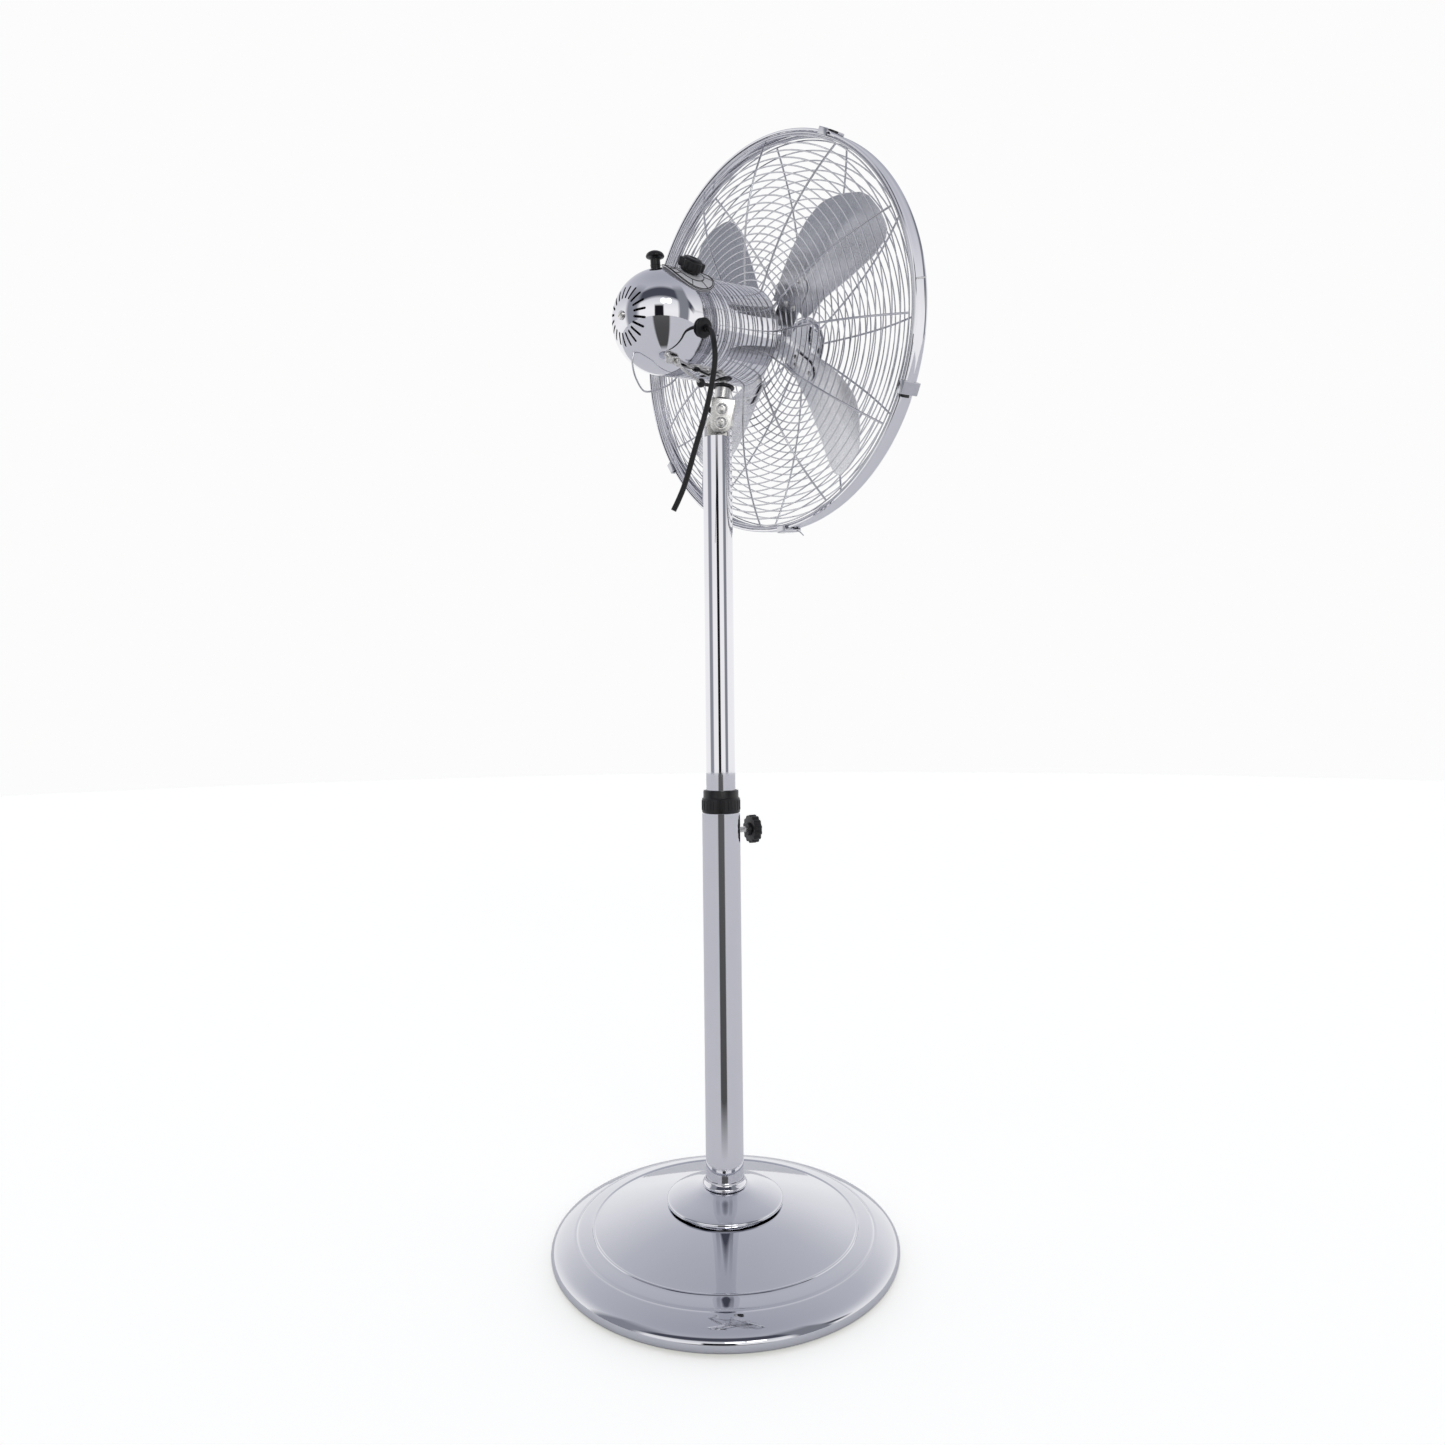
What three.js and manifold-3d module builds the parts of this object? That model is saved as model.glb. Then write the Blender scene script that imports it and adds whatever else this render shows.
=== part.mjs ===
// Pedestal fan, 40 cm class: round weighted base, telescopic pole, tilting neck, oscillating
// bullet-shaped motor head, five riveted blades in a two-part wire guard.
// Units are millimetres, +Z is up, the origin is the middle of the underside of the base.
// With the neck straight the fan blows along -Y; as built the head leans and looks to one side.
import * as THREE from 'three';
import { mergeVertices } from 'three/addons/utils/BufferGeometryUtils.js';
import Module from 'manifold-3d';

const wasm = await Module();
wasm.setup();

// ---------------------------------------------------------------- driving dimensions
const GAP = 0.3; // clearance kept between touching pieces
const RAD = Math.PI / 180;

const BASE_RADIUS = 193;
const BASE_RIM_Z = 11; // height of the widest part of the rim
const PAD = { radius: 172, thickness: 3 };
const BEAD_RADIUS = 146.5; // inner bead ring on the cover
const HUB_DOME = { radius: 65, z: 55.6 };
const LOWER_TUBE = { outer: 21.2, inner: 19.2, bottom: 24.3, top: 489 };
const COLLAR = { bore: 16.6, step: 505.3, top: 514 };
const UPPER_TUBE = { outer: 16.2, inner: 14.2, bottom: 400, top: 916, notch: 905.6 };
const HEIGHT_KNOB = { z: 468, angle: -63.9, stem: 3.2, radius: 16, from: 32.5, to: 44 };

const TILT_PIVOT = new THREE.Vector3(0, -5.5, 935);
const NECK_LEAN = 7; // degrees, forwards
const SWING = 42.04; // degrees the head is turned on the neck
const MOTOR_RAISE = 11.63; // degrees the motor axis points above the neck's normal plane
const NECK_BACK = 1.5; // neck axis behind the tilt pivot
const MOTOR_HEIGHT = 86.8; // motor axis above the tilt pivot, along the neck
const CHEEK = { inner: 8.5, outer: 12.5 };

const SHELL = { radius: 53, wall: 2.2, front: -19.5, domeCentre: 94.5 };
const VENTS = { count: 20, inner: 16.5, outer: 28.5, width: 2.6 };
const PLUNGER_Y = 100.5;
const DIAL = { angle: 56, y: 81, radius: 28.8, hole: 5.6 };
const GROMMET = { angle: -15.7, y: 83.5, radius: 10, top: 58 };
const CORD_RADIUS = 2.8;

const GUARD = { radius: 216, wall: 2.4, rear: -53, front: -73, ribs: 12, ribAngle: -4 };
const FRONT_DEPTH = 46; // how far the front guard bulges ahead of the rim
const BADGE_RADIUS = 33;
const BLADES = 4;
const BLADE_ANGLE = 52; // first blade, from the -X side towards +Z
const CLIP_ANGLES = { top: 62, side: -23, bottom: -84, far: -145 };

// ---------------------------------------------------------------- finishes
const finish = (color, roughness, metalness) => () =>
  new THREE.MeshStandardMaterial({ color, roughness, metalness });
const chrome = finish(0xd6d7dc, 0.06, 1);
const satinSteel = finish(0xd9d9d6, 0.3, 1);
const darkSteel = finish(0x77787c, 0.4, 1);
const aluminium = finish(0xc9cacf, 0.25, 1);
const castIron = finish(0x3a3a3c, 0.7, 0.8);
const blackPlastic = finish(0x0d0d0e, 0.45, 0);
const blackRubber = finish(0x121213, 0.8, 0);
const copper = finish(0xa8622f, 0.35, 1);
const brass = finish(0xb9923f, 0.3, 1);
const nylon = finish(0xe6e2d4, 0.5, 0);
const dialPaper = finish(0xe8e8ea, 0.3, 0.2);

// ---------------------------------------------------------------- solids from three.js shapes
/** Merged, position-only copy of a closed surface, without slivers and facing outwards. */
function closed(geometry) {
  const bare = geometry.clone();
  for (const key of Object.keys(bare.attributes)) if (key !== 'position') bare.deleteAttribute(key);
  const merged = mergeVertices(bare, 1e-3);
  const index = Array.from(merged.index.array);
  const p = merged.attributes.position;
  const faces = [];
  let volume = 0;
  const [a, b, c] = [new THREE.Vector3(), new THREE.Vector3(), new THREE.Vector3()];
  for (let i = 0; i < index.length; i += 3) {
    const [i0, i1, i2] = index.slice(i, i + 3);
    if (i0 === i1 || i1 === i2 || i2 === i0) continue;
    faces.push([i0, i1, i2]);
    a.fromBufferAttribute(p, i0);
    b.fromBufferAttribute(p, i1);
    c.fromBufferAttribute(p, i2);
    volume += a.dot(b.cross(c));
  }
  if (volume < 0) for (const face of faces) face.reverse();
  merged.setIndex(faces.flat());
  return merged;
}

function toSolid(geometry) {
  const g = closed(geometry);
  return new wasm.Manifold(new wasm.Mesh({
    numProp: 3,
    vertProperties: new Float32Array(g.attributes.position.array),
    triVerts: new Uint32Array(g.index.array),
  }));
}

function fromSolid(solid) {
  const mesh = solid.getMesh();
  const g = new THREE.BufferGeometry();
  g.setAttribute('position', new THREE.BufferAttribute(new Float32Array(mesh.vertProperties), 3));
  g.setIndex(Array.from(mesh.triVerts));
  return g;
}

/** first, with the joined pieces added and the cut pieces taken away. */
function carve(first, { join = [], cut = [] }) {
  let solid = toSolid(first);
  for (const piece of join) solid = solid.add(toSolid(piece));
  for (const piece of cut) solid = solid.subtract(toSolid(piece));
  return fromSolid(solid);
}

/** Turned piece about Z from [radius, z] points; open profiles start and end on the axis. */
function turned(profile, segments = 32) {
  const points = profile.map(([r, z]) => new THREE.Vector2(r, z));
  const onAxis = profile[0][0] === 0 && profile[profile.length - 1][0] === 0;
  if (!onAxis) points.push(points[0].clone());
  return new THREE.LatheGeometry(points, segments).rotateX(90 * RAD);
}

const ring = (inner, outer, z0, z1, segments = 32) =>
  turned([[inner, z0], [outer, z0], [outer, z1], [inner, z1]], segments);
const disc = (radius, z0, z1, segments = 24) =>
  turned([[0, z0], [radius, z0], [radius, z1], [0, z1]], segments);
const block = (x, y, z) => new THREE.BoxGeometry(x[1] - x[0], y[1] - y[0], z[1] - z[0])
  .translate((x[0] + x[1]) / 2, (y[0] + y[1]) / 2, (z[0] + z[1]) / 2);

/** Turns a piece made about +Z so that its +Z points along +Y. */
const alongY = (geometry) => geometry.rotateX(-90 * RAD);
/** Turns a piece made about +Z so that its +Z points along +X. */
const alongX = (geometry) => geometry.rotateY(90 * RAD);

/** Plate from a [u, v] outline, thickness from w0 to w1 along Z. */
function plate(outline, w0, w1) {
  const shape = outline instanceof THREE.Shape ? outline
    : new THREE.Shape(outline.map(([u, v]) => new THREE.Vector2(u, v)));
  return new THREE.ExtrudeGeometry(shape, { depth: w1 - w0, bevelEnabled: false, curveSegments: 6 })
    .translate(0, 0, w0);
}

/** Round wire or cord of the given radius along a smooth curve through the points. */
function wire(points, radius, steps, sides) {
  const curve = new THREE.CatmullRomCurve3(points.map((q) => new THREE.Vector3(...q)), false, 'centripetal');
  const section = new THREE.Shape();
  for (let i = 0; i < sides; i += 1) {
    const t = (i / sides) * 2 * Math.PI;
    const [u, v] = [radius * Math.cos(t), radius * Math.sin(t)];
    if (i === 0) section.moveTo(u, v);
    else section.lineTo(u, v);
  }
  return new THREE.ExtrudeGeometry(section, { steps, extrudePath: curve, curveSegments: 1 });
}

/** Puts a piece made about +Z on the side of the motor housing, with +Z pointing outwards. */
function onFlank(geometry, angle, y) {
  const frame = new THREE.Matrix4().makeBasis(
    new THREE.Vector3(-Math.sin(angle * RAD), 0, -Math.cos(angle * RAD)),
    new THREE.Vector3(0, 1, 0),
    new THREE.Vector3(-Math.cos(angle * RAD), 0, Math.sin(angle * RAD)),
  );
  if (frame.determinant() < 0) {
    frame.makeBasis(
      new THREE.Vector3(Math.sin(angle * RAD), 0, Math.cos(angle * RAD)),
      new THREE.Vector3(0, 1, 0),
      new THREE.Vector3(-Math.cos(angle * RAD), 0, Math.sin(angle * RAD)),
    );
  }
  frame.setPosition(0, y, 0);
  return geometry.applyMatrix4(frame);
}

/** Closed sheet over a grid: at(u, v, side) gives a point, side 0 or 1 being its two faces. */
function sheet(at, nu, nv, wrapU = false) {
  const positions = [];
  const index = [];
  const columns = wrapU ? nu : nu + 1;
  const id = (side, i, j) => side * columns * (nv + 1) + (i % columns) * (nv + 1) + j;
  for (const side of [0, 1]) {
    for (let i = 0; i < columns; i += 1) {
      for (let j = 0; j <= nv; j += 1) positions.push(...at(i / nu, j / nv, side));
    }
  }
  const quad = (a, b, c, d) => index.push(a, b, c, a, c, d);
  for (let i = 0; i < nu; i += 1) {
    for (let j = 0; j < nv; j += 1) {
      quad(id(0, i, j), id(0, i + 1, j), id(0, i + 1, j + 1), id(0, i, j + 1));
      quad(id(1, i, j), id(1, i, j + 1), id(1, i + 1, j + 1), id(1, i + 1, j));
    }
    quad(id(0, i, 0), id(1, i, 0), id(1, i + 1, 0), id(0, i + 1, 0));
    quad(id(0, i, nv), id(0, i + 1, nv), id(1, i + 1, nv), id(1, i, nv));
  }
  if (!wrapU) {
    for (let j = 0; j < nv; j += 1) {
      quad(id(0, 0, j), id(0, 0, j + 1), id(1, 0, j + 1), id(1, 0, j));
      quad(id(0, nu, j), id(1, nu, j), id(1, nu, j + 1), id(0, nu, j + 1));
    }
  }
  const g = new THREE.BufferGeometry();
  g.setAttribute('position', new THREE.Float32BufferAttribute(positions, 3));
  g.setIndex(index);
  return g;
}

function add(group, name, geometry, material) {
  const mesh = new THREE.Mesh(closed(geometry), material());
  mesh.name = name;
  group.add(mesh);
  return mesh;
}

// ---------------------------------------------------------------- base and lower pole
/** Top surface of the spun cover between the bead ring and the hub dome. */
const coverHeight = (r) => 33.4 + 20.8 * (1 - ((r - 60) / 84) ** 1.2);

function buildBase(group) {
  add(group, 'floor_pad', disc(PAD.radius, 0, PAD.thickness, 40), blackRubber);
  add(group, 'ballast_disc', turned([
    [14, 3.3], [158, 3.3], [160, 9], [60, 12], [26, 16], [26, 24], [5.6, 24], [5.6, 10], [14, 10],
  ], 28), castIron);

  const outside = [[190.6, 3.6], [BASE_RADIUS, BASE_RIM_Z], [187.4, 20.4], [173, 27.6], [164.6, 29.4],
    [BEAD_RADIUS + 1.6, 32.8], [BEAD_RADIUS, 34], [BEAD_RADIUS - 1.8, 33.4]];
  for (const r of [112, 84, 60]) outside.push([r, coverHeight(r)]);
  const inside = [[22.2, 53], [60, 52.8], [112, 40.9], [146, 31.6], [172.4, 25.6], [185.6, 18.8],
    [191.2, 10.6], [188.8, 3.6]];
  add(group, 'base_cover', turned([...outside, [22.2, 55], ...inside], 40), chrome);

  add(group, 'clamp_bolt', turned([
    [0, 3.4], [12, 3.4], [12, 9.6], [5, 9.6], [5, 40], [0, 40],
  ], 12), darkSteel);
  add(group, 'tube_foot_plug', ring(5.4, LOWER_TUBE.inner - GAP, 24.4, 46, 20), darkSteel);
  add(group, 'hub_dome', turned([
    [HUB_DOME.radius, HUB_DOME.z], [65, 58], [60, 61], [40, 67], [21.6, 71.4],
    [21.6, 70], [40, 65.6], [60, 59.6], [63.6, HUB_DOME.z],
  ], 32), chrome);
  add(group, 'tube_foot_ring', turned([
    [21.5, 71.8], [23.6, 72], [25, 74.4], [22.6, 78.4], [22, 81], [21.5, 81],
  ], 28), chrome);

  const knobHole = () => disc(HEIGHT_KNOB.stem + GAP, 10, 30, 8).applyMatrix4(knobFrame());
  add(group, 'lower_tube', carve(
    ring(LOWER_TUBE.inner, LOWER_TUBE.outer, LOWER_TUBE.bottom, LOWER_TUBE.top, 28),
    { cut: [knobHole()] },
  ), chrome);
  add(group, 'collar', carve(turned([
    [COLLAR.bore, 455], [18.9, 455], [18.9, LOWER_TUBE.top + GAP], [LOWER_TUBE.outer, LOWER_TUBE.top + GAP],
    [LOWER_TUBE.outer, COLLAR.step], [19.7, COLLAR.step + 0.8], [19.7, COLLAR.top], [COLLAR.bore, COLLAR.top],
  ], 28), { cut: [knobHole()] }), blackPlastic);
}

/** Frame of the height clamp knob: +Z along its screw, away from the pole. */
function knobFrame() {
  const a = HEIGHT_KNOB.angle * RAD;
  const out = new THREE.Vector3(Math.cos(a), Math.sin(a), 0);
  const up = new THREE.Vector3(0, 0, 1);
  return new THREE.Matrix4().makeBasis(new THREE.Vector3().crossVectors(up, out), up, out)
    .setPosition(0, 0, HEIGHT_KNOB.z);
}

/** Round outline with shallow lobes. */
function lobed(radius, lobes, depth, steps) {
  const points = [];
  for (let i = 0; i < steps; i += 1) {
    const t = (i / steps) * 2 * Math.PI;
    const r = radius - depth * (0.5 - 0.5 * Math.cos(lobes * t));
    points.push([r * Math.cos(t), r * Math.sin(t)]);
  }
  return points;
}

function buildHeightKnob(group) {
  const { stem, radius, from, to } = HEIGHT_KNOB;
  const knob = carve(disc(stem, 16.6, from + 2, 8), {
    join: [plate(lobed(radius, 12, 1.2, 36), from, to), disc(radius - 3, to - 0.5, to + 1.4, 16)],
  });
  add(group, 'height_knob', knob.applyMatrix4(knobFrame()), blackPlastic);
}

// ---------------------------------------------------------------- sliding upper pole
function buildUpperPole(group) {
  const side = CHEEK.inner - 0.3;
  const notch = (x) => block(x, [-20, 20], [UPPER_TUBE.notch, UPPER_TUBE.top + 5]);
  add(group, 'upper_tube', carve(
    ring(UPPER_TUBE.inner, UPPER_TUBE.outer, UPPER_TUBE.bottom, UPPER_TUBE.top, 28),
    { cut: [notch([side, 20]), notch([-20, -side])] },
  ), chrome);
  add(group, 'guide_sleeve', ring(UPPER_TUBE.outer + GAP, LOWER_TUBE.inner - GAP, 404, 424, 24), nylon);

  // tongue in the top of the tube: a flat lug with the pivot hole and the arc slot of the clamp screw
  const [py, pz] = [TILT_PIVOT.y, TILT_PIVOT.z];
  const outline = [[-11.2, 904.8], [-11.2, 916.4], [-17.4, 917], [-17.4, 926]];
  for (let i = 0; i <= 6; i += 1) {
    const t = (180 - i * 30) * RAD;
    outline.push([py + 8 * Math.cos(t), pz + 8 * Math.sin(t)]);
  }
  outline.push([11.5, 926], [13.4, 917], [11.2, 916.4], [11.2, 904.8]);
  const slot = new THREE.Shape();
  const [a0, a1, mid, half] = [-116, -70, 14.9, 2.9];
  slot.absarc(0, 0, mid + half, a0 * RAD, a1 * RAD, false);
  slot.absarc(0, 0, mid - half, a1 * RAD, a0 * RAD, true);
  const toSide = (g) => g.applyMatrix4(new THREE.Matrix4().makeBasis(
    new THREE.Vector3(0, 1, 0), new THREE.Vector3(0, 0, 1), new THREE.Vector3(1, 0, 0),
  ));
  add(group, 'tongue_plug', carve(disc(UPPER_TUBE.inner - GAP, 880, 905.2, 20), {
    join: [toSide(plate(outline, -7.9, 7.9))],
    cut: [toSide(plate(slot, -12, 12)).translate(0, py, pz),
      alongX(disc(4.3, -12, 12, 16)).translate(0, py, pz)],
  }), satinSteel);
}

// ---------------------------------------------------------------- tilting neck
function buildNeck(group) {
  // cheeks and bridge of the bracket; outline in (y, z) about the tilt pivot
  const outline = [[12.4, 12], [-14.2, 12], [-13.6, 2], [-12.6, -10]];
  for (let i = 0; i <= 6; i += 1) {
    const t = (180 + i * 30) * RAD;
    outline.push([-0.6 + 11.6 * Math.cos(t), -16.4 + 9.8 * Math.sin(t)]);
  }
  outline.push([11.6, -10], [12, 2]);
  const cheek = (x0, x1) => plate(outline, x0, x1).applyMatrix4(new THREE.Matrix4().makeBasis(
    new THREE.Vector3(0, 1, 0), new THREE.Vector3(0, 0, 1), new THREE.Vector3(1, 0, 0),
  ));
  add(group, 'neck_bracket', carve(cheek(CHEEK.inner, CHEEK.outer), {
    join: [cheek(-CHEEK.outer, -CHEEK.inner), block([-9, 9], [-14.2, 12.4], [8.6, 12])],
    cut: [alongX(disc(4.3, -20, 20, 16)),
      alongX(disc(2.6, -20, 20, 12)).translate(0, -0.6, -14.9)],
  }), satinSteel);
  add(group, 'pivot_bolt', alongX(turned([
    [0, -15.6], [4, -15.4], [5.8, -12.8], [4, -12.8], [4, 22], [0, 22],
  ], 14)), satinSteel);
  add(group, 'tilt_screw', alongX(turned([
    [0, -15.4], [4, -15.2], [5.8, -12.8], [2.3, -12.8], [2.3, 12.8], [4.4, 12.8], [4.4, 15.6], [0, 15.6],
  ], 12)).translate(0, -0.6, -14.9), satinSteel);
  add(group, 'neck_post', turned([
    [0, 13.9], [9, 13.9], [9, 26.5], [5, 26.5], [5, 43.5], [0, 43.5],
  ], 20).translate(0, NECK_BACK, 0), satinSteel);
  add(group, 'post_washer', disc(9.3, 12.3, 13.6, 20).translate(0, NECK_BACK, 0), blackPlastic);
  add(group, 'swivel_disc', carve(ring(5.3, 12.5, 26.8, 29.2, 20), {
    join: [block([-3, 3], [11, 16.5], [26.8, 28.2])],
  }).translate(0, NECK_BACK, 0), blackPlastic);
}

function buildTiltLever(group) {
  // clamp lever on the far cheek: a hub with one arm
  const arm = plate([[-3, -3], [20, -2.6], [21.4, 0], [20, 2.6], [-3, 3]], 14.2, 19.4)
    .rotateZ(23 * RAD);
  const lever = carve(turned([
    [4.3, 12.9], [8, 12.9], [8, 22], [6.6, 23.6], [4.3, 23.6],
  ], 14), { join: [arm], cut: [disc(4.3, 10, 26, 14)] });
  add(group, 'tilt_lever', lever.applyMatrix4(new THREE.Matrix4().makeBasis(
    new THREE.Vector3(0, 1, 0), new THREE.Vector3(0, 0, 1), new THREE.Vector3(1, 0, 0),
  )), blackPlastic);
}

// ---------------------------------------------------------------- motor head
function buildShell(group) {
  const { radius, wall, front, domeCentre } = SHELL;
  const profile = [];
  const dome = [0, 15, 30.5, 43, 50.6, radius];
  for (const r of dome) profile.push([r, domeCentre + Math.sqrt(radius * radius - r * r)]);
  profile.push([radius, front], [radius - wall, front]);
  const inner = radius - wall;
  for (const r of dome.reverse()) {
    profile.push([(r * inner) / radius, domeCentre + inner * Math.sqrt(1 - (r / radius) ** 2)]);
  }
  const cuts = [];
  for (let i = 0; i < VENTS.count; i += 1) {
    const slot = block([VENTS.inner, VENTS.outer], [domeCentre + 35, domeCentre + 60],
      [-VENTS.width / 2, VENTS.width / 2]);
    cuts.push(slot.rotateY(((i + 0.25) * 360 * RAD) / VENTS.count));
  }
  cuts.push(alongY(disc(2.6, domeCentre + 40, domeCentre + 60, 12)));
  cuts.push(disc(5.8, 40, 60, 12).translate(0, PLUNGER_Y, 0));
  cuts.push(onFlank(disc(4.8, 40, 60, 10), DIAL.angle, DIAL.y));
  cuts.push(onFlank(disc(7, 40, 60, 12), GROMMET.angle, GROMMET.y));
  cuts.push(onFlank(disc(3.4, 35, 60, 8), CRANK.angle, CRANK.y));
  cuts.push(disc(8.4, -65, -45, 14).rotateX(MOTOR_RAISE * RAD));
  add(group, 'housing_shell', carve(alongY(turned(profile, 40)), { cut: cuts }), chrome);
  add(group, 'dome_screw', alongY(turned([
    [0, 136], [2.2, 136], [2.2, 147.9], [4.6, 147.9], [3.8, 149.6], [0, 150.3],
  ], 10)), satinSteel);
}

function buildMotor(group) {
  add(group, 'front_cover', alongY(turned([
    [9.4, -22.2], [52.6, -22.2], [52.6, -19.8], [14, -19.8], [14, -17], [9.4, -17],
  ], 28)), chrome);
  add(group, 'grille_nut', alongY(ring(9.5, 26, -30, -25.2, 20)), blackPlastic);
  add(group, 'front_bearing', alongY(ring(4.3, 9.1, -24, -17.4, 16)), brass);
  add(group, 'motor_stator', alongY(ring(25.2, 40, -8, 30, 24)), darkSteel);
  add(group, 'front_winding', alongY(ring(27, 38, -14.5, -8.3, 20)), copper);
  add(group, 'rear_winding', alongY(ring(27, 38, 30.3, 37, 20)), copper);
  add(group, 'rear_bracket', alongY(ring(9.4, SHELL.radius - SHELL.wall - 0.6, 40, 43, 28)), aluminium);
  add(group, 'rear_bearing', alongY(ring(4.3, 9.1, 38.4, 44.6, 16)), brass);
  add(group, 'neck_bush', ring(5.3, 9, -MOTOR_HEIGHT + 39, -MOTOR_HEIGHT + 43.4, 18)
    .rotateX(MOTOR_RAISE * RAD), brass);
  add(group, 'gearbox_case', carve(block([-14, 33], [46, 112], [-14, 14]), {
    cut: [block([-9, 29], [56, 88], [-8, 8]), alongY(disc(7.2, 40, 60, 12))],
  }), darkSteel);
  add(group, 'speed_switch', onFlank(block([-10, 10], [-10, 10], [32, 45.6]), DIAL.angle, DIAL.y), blackPlastic);
}

/** Small turning lever low on the flank that drives the link rod. */
const CRANK = { angle: -55, y: 113.5, throw: 9 };

function buildCrank(group) {
  const outline = new THREE.Shape();
  outline.absarc(0, 0, 4.4, 0, Math.PI, false);
  outline.absarc(0, -CRANK.throw, 4.4, Math.PI, 2 * Math.PI, false);
  add(group, 'crank_lever', onFlank(carve(plate(outline, 54, 56.2), {
    join: [disc(3, 44, 55, 8), disc(3.5, 56, 56.5, 10)],
  }), CRANK.angle, CRANK.y), satinSteel);
}

function buildLinkRod(group) {
  const u = (rho, angle) => [-rho * Math.cos(angle * RAD), rho * Math.sin(angle * RAD)];
  const pinY = CRANK.y - CRANK.throw;
  const [x0, z0] = u(58.4, CRANK.angle);
  const rod = wire([[x0, pinY, z0], [-29.5, 92, -53.5], [-21, 70, -57.5], [-17, 61, -60]], 1.5, 4, 6);
  const joint = block([-4, 4], [-4, 4], [-3, 3]).rotateZ(0.3).translate(-16, 58.6, -60.4);
  const tail = wire([[-15.6, 57, -60.4], [-11, 46, -60], [-8, 37, -59.6]], 1.9, 2, 6);
  add(group, 'link_rod', carve(rod, {
    join: [onFlank(disc(3.6, 56.6, 60.4, 10), CRANK.angle, pinY), joint, tail],
  }), satinSteel);
}

function buildControls(head, plungerGroup, knobGroup) {
  const [r0, r1] = [SHELL.radius + 0.6, SHELL.radius + 1.5];
  const dial = sheet((u, v, side) => {
    const rho = DIAL.hole + (DIAL.radius - DIAL.hole) * v;
    const t = u * 2 * Math.PI;
    const along = rho * Math.cos(t);
    const around = DIAL.angle * RAD + (rho * Math.sin(t)) / SHELL.radius;
    const r = side ? r1 : r0;
    return [-r * Math.cos(around), DIAL.y + along, r * Math.sin(around)];
  }, 28, 2, true);
  add(head, 'dial_plate', dial, dialPaper);

  const knob = carve(turned([
    [0, 46], [4.2, 46], [4.2, 58], [0, 58],
  ], 10), {
    join: [plate(lobed(14, 6, 2.4, 30), 57.4, 68), disc(10.4, 67.5, 70, 16)],
  });
  add(knobGroup, 'speed_knob', onFlank(knob, DIAL.angle, DIAL.y), blackPlastic);

  add(plungerGroup, 'clutch_plunger', turned([
    [0, 20.6], [5.1, 20.6], [5.1, 62.6], [8.6, 63.4], [9.4, 65], [6, 69.6], [0, 71],
  ], 16).translate(0, PLUNGER_Y, 0), blackPlastic);
}

function buildCord(group) {
  add(group, 'cord_grommet', onFlank(turned([
    [CORD_RADIUS + 0.3, 46], [6.6, 46], [6.6, 53.4], [GROMMET.radius, 53.6], [GROMMET.radius, 56],
    [8.6, GROMMET.top], [CORD_RADIUS + 0.3, GROMMET.top],
  ], 16), GROMMET.angle, GROMMET.y), blackRubber);
  const a = GROMMET.angle * RAD;
  const out = (rho) => [-rho * Math.cos(a), GROMMET.y, rho * Math.sin(a)];
  add(group, 'power_cord', wire([
    out(GROMMET.top + GAP), out(GROMMET.top + 5), [-70.5, 88, -24.5], [-77.5, 92.5, -34],
    [-80.6, 94.5, -45], [-80.6, 95.3, -55], [-78.8, 98.4, -74.6], [-75.3, 104.9, -101.7],
    [-69.6, 115.5, -136.4], [-63.8, 126.1, -171.3], [-60, 132.3, -187.4], [-56.3, 137.2, -198.9],
  ], CORD_RADIUS, 18, 8), blackRubber);
}

function buildHook(group) {
  add(group, 'cord_hook', wire([
    [0, 134.6, -35], [0, 137, -45], [0, 134.4, -58], [0, 127, -69.6], [0, 120, -72.4], [0, 108, -69.4],
    [0, 92, -63.6], [0, 82, -57], [0, 79, -53.9],
  ], 0.9, 12, 5), chrome);
}

// ---------------------------------------------------------------- wire guard
const rearProfile = (rho) => -24 - 30 * Math.max(0, (rho - 50) / 161) ** 2.4;
const frontProfile = (rho) => -72 - FRONT_DEPTH * (1 - (rho / 211) ** 2.6);

/** Square-sectioned hoop about the fan axis. */
function hoop(radius, y, half, segments) {
  return alongY(turned([
    [radius - half, y - half], [radius + half, y - half], [radius + half, y + half], [radius - half, y + half],
  ], segments));
}

/** Flat rib that follows a guard profile between two radii. */
function rib(profile, r0, r1, half, angle) {
  const steps = 3;
  const points = [];
  for (let i = 0; i <= steps; i += 1) {
    const r = r0 + ((r1 - r0) * i) / steps;
    points.push([r, profile(r) + half]);
  }
  for (let i = steps; i >= 0; i -= 1) {
    const r = r0 + ((r1 - r0) * i) / steps;
    points.push([r, profile(r) - half]);
  }
  return plate(points, -half, half).applyMatrix4(new THREE.Matrix4().makeBasis(
    new THREE.Vector3(-Math.cos(angle * RAD), 0, Math.sin(angle * RAD)),
    new THREE.Vector3(0, 1, 0),
    new THREE.Vector3(-Math.sin(angle * RAD), 0, -Math.cos(angle * RAD)),
  ));
}

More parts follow.
